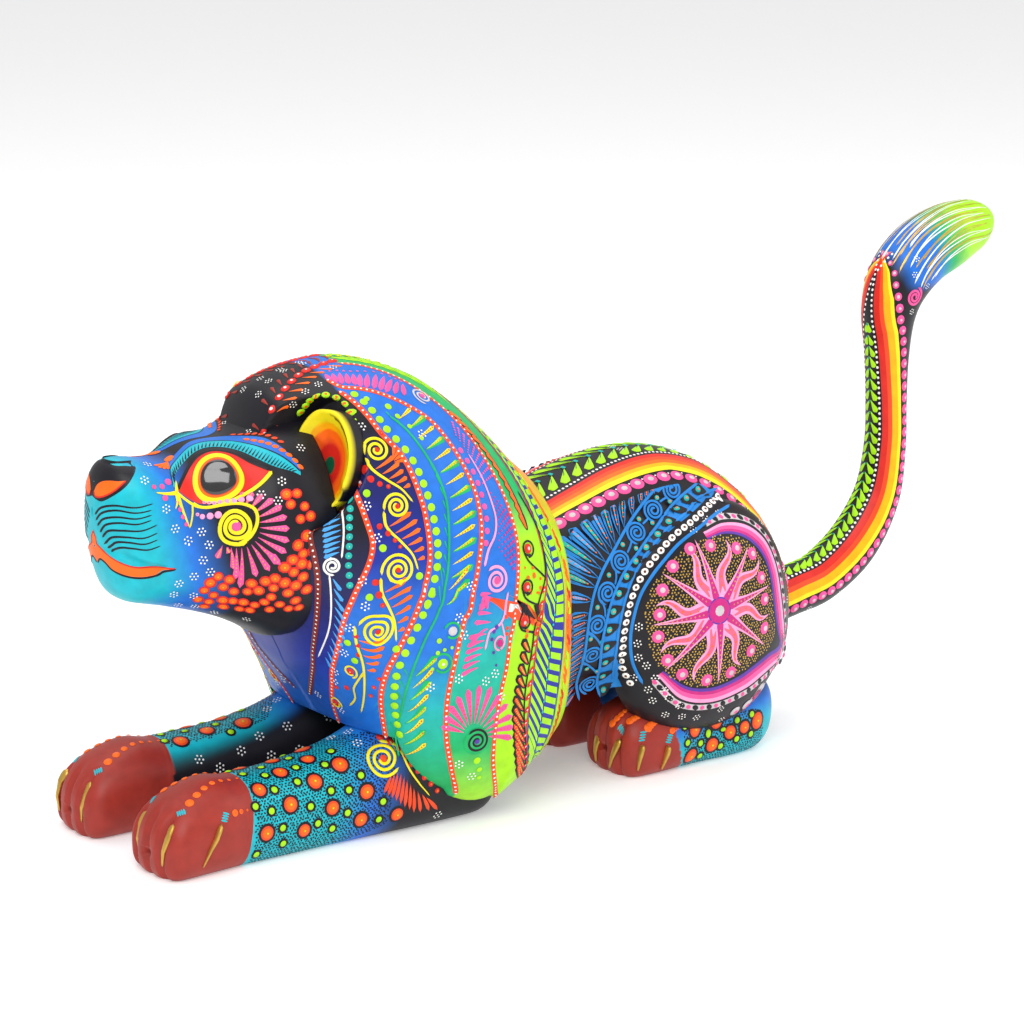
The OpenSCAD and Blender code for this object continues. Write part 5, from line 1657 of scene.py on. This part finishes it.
toe_marks(fore, [[(-204, 9.6), (-199, 8), (-193, 6.4), (-186, 5.4), (-180, 4.2)],
                 [(-188.6, 20.6), (-185.6, 20), (-182.8, 19.4)],
                 [(-204, -8.6), (-199.5, -7.6), (-194, -6.2), (-186, -5), (-180, -4)]],
          [((-208.4, 10.6), 30), ((-193.2, 21.4), 120), ((-208.8, -9.2), -30)])
fore.curl("yellow", (-122, 19.5), 7.2, 2.4, 60, 1.25, 1, 0.2, layer=4)
fore.dots("coral", [(-122, 19.5)], 1.5, layer=4)
fore.stroke("yellow", path_through([(-121, 12.5), (-115.5, 18.5), (-112.5, 29), (-108.5, 37), (-103.5, 44.5)], 30),
            np.linspace(1.3, 0.4, 30), layer=5)
for foot, tip in zip(at_index([(-120, 27), (-116.5, 28), (-113.5, 33), (-110, 39), (-105, 44.5)],
                              np.linspace(0, 4, 11)),
                     at_index([(-123.5, 32), (-119.5, 37), (-114.5, 43.5), (-109, 49.5), (-99, 52)],
                              np.linspace(0, 4, 11))):
    fore.stroke("coral", foot + (tip - foot) * np.linspace(0, 1, 6)[:, None], [0.4, 0.8, 1.3, 1.6, 1.5, 0.8], layer=3)
row = path_through([(-119.5, 11.5), (-116, 17.6), (-113.5, 22.5), (-110.5, 29), (-107, 34.5), (-104, 38.5),
                    (-100, 43.5)], 9)
fore.dots("red", row, np.linspace(1.7, 1.1, 9), layer=3)
fore.dots("orange", row, 0.55, layer=8)
fore.cluster([(-141, -15), (-132, -4), (-126, -1), (-128, 8), (-118, 4), (-98, 55), (-112, 8), (-168, -17),
              (-160, -22), (-150, -18), (-151, -28), (-138, -24),
              (-129, -16), (-126, -27), (-115, -12), (-112, -22), (-104, -8), (-100, -18), (-140, -36), (-164, -32),
              (-118, -36)], 1.6)
cuff_q = np.linspace(-30, 45, 60)
cuff_z = on_foreleg(np.full(60, -180.0), cuff_q)[:, 2]
fore.stroke("brick", np.column_stack([-178.1 - 0.14 * (44 - cuff_z), cuff_q]), 2.2, layer=0, tall=0.05)
fore.finish()

# %% Hind foot dots
hind = Brush("hind", on_hind_foot, "haunch_paint")
haloes(hind, [(29.3, 25.5), (40.7, 24), (38.9, 33.4), (27.8, 37), (47.9, 30), (55.6, 29.5), (63, 27.5)],
       [(23.6, 24), (32.9, 21.8), (36.6, 28), (44.3, 28), (25, 31), (32.6, 31.4), (33.4, 37.4), (43.4, 35),
        (51.6, 25.8), (51.6, 33.8), (59.4, 33), (59.7, 24.6)],
       [(22, 22), (66, 22), (69, 42), (25, 44), (23.4, 32)])
toe_marks(hind, [[(-2.2, 4), (0.5, 5), (2.6, 5.2), (5, 5.6), (8, 6)], [(1.4, 10.6), (5, 11.6), (8, 12), (11, 12.6)],
                 [(6.5, 18.2), (9, 17.6), (11.8, 17.6), (14.8, 18)],
                 [(17.2, 24), (18.6, 24), (20, 24)]],
          [((-2.2, 9.2), 100), ((3.4, 19.6), 120), ((15.4, 26.6), 120)])
hind.cluster([(22, 15), (29, 17), (36, 16), (48, 17)], 1.4)
hind.finish()

# %% [markdown]
# ## The tail
# The stripes of the back carry on along the tail beside the ladder of lime leaves and close to a point under the
# tuft. The tuft fades from black through blue and green to lime, with fine white and gold hairs.

# %% Tail stripes, leaves and tuft
tail = Brush("tail", on_tail, "tail_paint", "tail")
p_tail = np.linspace(3, 187, 200)
red_edge = np.interp(p_tail, [3, 45, 90, 130, 160, 178, 187], [7.8, 7.4, 6.4, 5.8, 4.6, 1.6, -3])
yellow_edge = np.interp(p_tail, [3, 36, 78, 110, 140, 161, 173, 181, 187], [18.6, 17.6, 17.2, 15.0, 14.2, 14.0,
                                                                            11.6, 6.6, -2.8])
tail_line = [np.column_stack([p_tail, red_edge * (1 - k) + yellow_edge * k]) for k in (0, 0.3, 0.5, 0.82, 1)]
for colour, low, high in zip(("red", "coral", "orange", "yellow"), tail_line, tail_line[1:]):
    tail.fill(colour if colour != "orange" else "amber", low, high, layer=1, across=3)
tail.dots("white", tail.spaced(tail_line[0] - (0, 1.1), 2.2), 0.6, layer=2, tall=0.5)
row = tail.spaced(tail_line[4] + (0, 2.4), 5.0)
size = np.interp(row[:, 0], [0, 120, 170, 187], [2.1, 1.9, 1.8, 0.9])
tail.dots("pink", row, size, layer=2, stretch=1.15)
tail.dots("pearl", row, size * 0.5, layer=7, stretch=1.2)
for p in np.arange(4, 184, 4.7):
    reach = float(np.interp(p + 4, p_tail, red_edge)) - 2.4
    if reach > 0.6:
        tail.petal("lime", (p, 0.3), -180 + np.degrees(np.arctan2(-reach, 4.6)), np.hypot(4.6, reach), 3.6,
                   layer=2, shape=1.1)
        tail.dots("teal", [(p - 0.6, 0.0)], 0.6, layer=6)
tail.curl("pink", (176.5, 21), 4.2, 2.4, 0, 1.1, 1, 0.15, layer=2)
tail.cluster([(184, 17), (189, 14), (170, 21), (184, 26), (60, 26), (45, 25.5), (30, 25), (75, 26.5), (90, 25),
              (110, 23), (130, 22), (150, 23), (12, 26)], 1.1)
for k, q in enumerate(np.linspace(-27, 27, 25)):
    start = 188 + 5 * math.cos(k * 2.4) - 0.12 * abs(q)
    path = np.column_stack([np.linspace(start, 231 + 3 * math.sin(k * 1.7), 30),
                            q * np.linspace(1, 0.8, 30) + 0.8 * np.sin(np.linspace(0, 4, 30) + k)])
    tail.stroke("gold" if k % 2 else "white", path, np.interp(np.linspace(0, 1, 30), [0, 0.2, 1], [0.7, 0.6, 0.15]),
                layer=2, tall=0.1)
tail.finish()
print("tail stripes end", round(float(p_tail[-1]), 1), "mm along the tail")

# %% [markdown]
# ## Crown and cheek of the mane
# Above the brow a row of red ovals runs back over the crown between feathers, and a line of bright green ovals
# follows the edge of each ear. Behind the cheek blue feathers and teal discs fill the first band of the mane.

# %% Crown and cheek
crown = Brush("crown", on_mane, "mane_paint")
row = path_through([(-156, 17), (-152, 16.6), (-148.5, 15.5), (-142.5, 12.5), (-134, 9), (-126, 7.5), (-119, 6.5)],
                   10)
crown.dots("red", row, np.linspace(1.5, 1.9, 10), layer=2, stretch=1.2, turn=-15)
crown.dots("white", row, 0.75, layer=9)
for k, (p, q) in enumerate(row):
    for side in (1, -1):
        crown.petal("orange" if side > 0 else "brick", (p, q + 2.6 * side), 52 * side - 20, 5.6 if side > 0 else 5.0,
                    1.7, layer=2, shape=1.3)
feet = at_index([(-127.5, 15), (-122.5, 16.5), (-118.5, 19), (-113.5, 20), (-106.5, 20), (-101.5, 22.5),
                 (-98.5, 24.5)], np.linspace(0, 6, 12))
tips = at_index([(-128, 20.5), (-125.5, 23.5), (-121, 25.5), (-118.5, 28.5), (-113.5, 30), (-110, 32),
                 (-102.5, 32.5)], np.linspace(0, 6, 12))
for foot, tip in zip(feet, tips):
    crown.stroke("pink", foot + (tip - foot) * np.linspace(0, 1, 6)[:, None], [0.5, 1.3, 2.0, 2.3, 2.0, 0.9], layer=2)
crown.dots("pink", feet - (0, 1.8), 0.6, layer=2)
crown.curl("pearl", (-93, 30), 4.6, 2.0, 90, 0.9, 1, 0.2, layer=3)
crown.dots("pink", [(-93, 30)], 1.3, layer=4)
ovals = path_through([(-153.5, 29.5), (-148, 28), (-143, 26), (-138, 24.5), (-133, 26), (-129.5, 30.5), (-128.6, 36),
                      (-130.5, 42), (-134, 48), (-138.5, 56),
                      (-142.5, 60), (-146.5, 63.5), (-151, 67)], 18)
crown.dots("lime", ovals, 1.5, layer=3, stretch=1.1)
crown.dots("orange", ovals, 0.65, layer=11)
crown.cluster([(-133, 19.5), (-139, 20), (-147, 22.5), (-155, 25), (-145, 3), (-151, 5.5), (-137.5, 1.5), (-129, 1.5),
               (-158, 9), (-122, 12)], 1.3)
for top, low, side in (((-141.5, 74), (-142.5, 99), 180), ((-146.5, 106), (-139.5, 150), 0)):
    stem = path_through([top, ((top[0] + low[0]) / 2 + 0.8, (top[1] + low[1]) / 2), low], 24)
    crown.stroke("white", stem, 0.7, layer=2)
    for k in range(1, 23, 2):
        crown.petal("sky", stem[k] - (1.0 if side else -1.0, 0), side + (-38 if side else 38),
                    5.6 + 1.6 * math.sin(k / 7), 1.7, layer=2)
crown.curl("white", (-145.5, 103), 3.6, 2.2, 60, 0.9, 1, 0.2, layer=3)
discs = path_through([(-137.6, 71), (-138, 77), (-139, 83.5), (-139.6, 91.5), (-140.2, 100), (-139.6, 108)], 11)
crown.dots("teal", discs, 1.35, layer=2)
crown.dots("yellow", discs, 0.5, layer=7)
for p in np.arange(-117, -84, 4.4):
    reach = float(np.interp(p, [-118, -108, -98, -88, -80], [8, 12, 17, 25, 27]))
    path = path_through([(p, 1.6), (p + 3, reach * 0.45), (p + 8, reach)], 10)
    crown.stroke("lime", path, np.array([0.6, 1.8, 2.7, 3.2, 3.3, 3.1, 2.6, 1.9, 1.2, 0.3]), layer=2)
    crown.stroke("dark_green", path[1:8], 0.5, layer=6)
    crown.dots("yellow", [(p + 0.6, 0)], 1.2, layer=4)
for p in np.arange(-68, -44, 5.5):
    crown.petal("red", (p, 2.5), 40, 9, 2.6, layer=2)
    crown.dots("yellow", [(p - 1.5, 0)], 1.3, layer=3)
crown.finish()

# %% [markdown]
# ## Floor, light and camera
# A pale floor with a soft horizon and two large soft lights give even studio light, so the colours read as they are.

# %% Floor
stage_material, tree, out = new_material("pale_studio_paper")
place = add_node(tree, "ShaderNodeTexCoord").outputs["Object"]
fibre = add_node(tree, "ShaderNodeTexNoise", {"Vector": place, "Scale": 1 / (30 * MM), "Detail": 2.0})
tone = add_node(tree, "ShaderNodeMapRange", {"Value": fibre.outputs["Fac"], "To Min": 0.86, "To Max": 0.9})
paper = add_node(tree, "ShaderNodeCombineColor", {"Red": tone.outputs["Result"], "Green": tone.outputs["Result"],
                                                  "Blue": tone.outputs["Result"]})
shader = add_node(tree, "ShaderNodeBsdfPrincipled", {"Base Color": paper.outputs["Color"], "Roughness": 0.6,
                                                       "Emission Color": (1.0, 1.0, 1.0, 1.0),
                                                     "Emission Strength": 0.26})
tree.links.new(shader.outputs["BSDF"], out.inputs["Surface"])
floor_mesh = bpy.data.meshes.new("floor")
floor_mesh.from_pydata([(-6, -6, 0), (6, -6, 0), (6, 6, 0), (-6, 6, 0)], [], [(0, 1, 2, 3)])
floor_mesh.materials.append(stage_material)
floor = bpy.data.objects.new("floor", floor_mesh)
bpy.context.scene.collection.objects.link(floor)


# %% Lights and world
def soft_light(name, place, target, size, watts):
    """A square area light that looks at a target."""
    light = bpy.data.lights.new(name, "AREA")
    light.size, light.energy = size, watts
    lamp = bpy.data.objects.new(name, light)
    to = np.array(target, float) - np.array(place, float)
    lamp.location = place
    lamp.rotation_euler = (math.atan2(math.hypot(to[0], to[1]), -to[2]), 0, math.atan2(to[1], to[0]) - math.pi / 2)
    bpy.context.scene.collection.objects.link(lamp)


soft_light("key_light", (-1.0, -1.1, 1.5), (0, 0, 0.1), 1.2, 21)
soft_light("fill_light", (1.2, -0.9, 1.0), (0, 0, 0.1), 1.4, 9)
soft_light("top_light", (0.0, 0.4, 1.8), (0, 0, 0.1), 1.6, 13)
world = bpy.data.worlds.new("studio")
bpy.context.scene.world = world
world.use_nodes = True
world.node_tree.nodes.clear()
sky = add_node(world.node_tree, "ShaderNodeBackground", {"Color": (1.0, 1.0, 1.0, 1.0), "Strength": 0.62})
add_node(world.node_tree, "ShaderNodeOutputWorld", {"Surface": sky.outputs["Background"]})

# %% Camera
azimuth, elevation, distance = math.radians(-35), math.radians(13.4), 1.44
target = np.array([-26.9, 6.5, 105]) * MM
back = np.array([math.sin(azimuth) * math.cos(elevation), -math.cos(azimuth) * math.cos(elevation),
                 math.sin(elevation)])
lens = bpy.data.cameras.new("camera")
lens.lens, lens.sensor_width = 126.56, 36
camera = bpy.data.objects.new("camera", lens)
camera.location = target + back * distance
camera.rotation_euler = (math.pi / 2 - elevation, 0, azimuth)
bpy.context.scene.collection.objects.link(camera)
bpy.context.scene.camera = camera
bpy.context.scene.view_settings.view_transform = "Standard"  # paint keeps the colours of its swatches
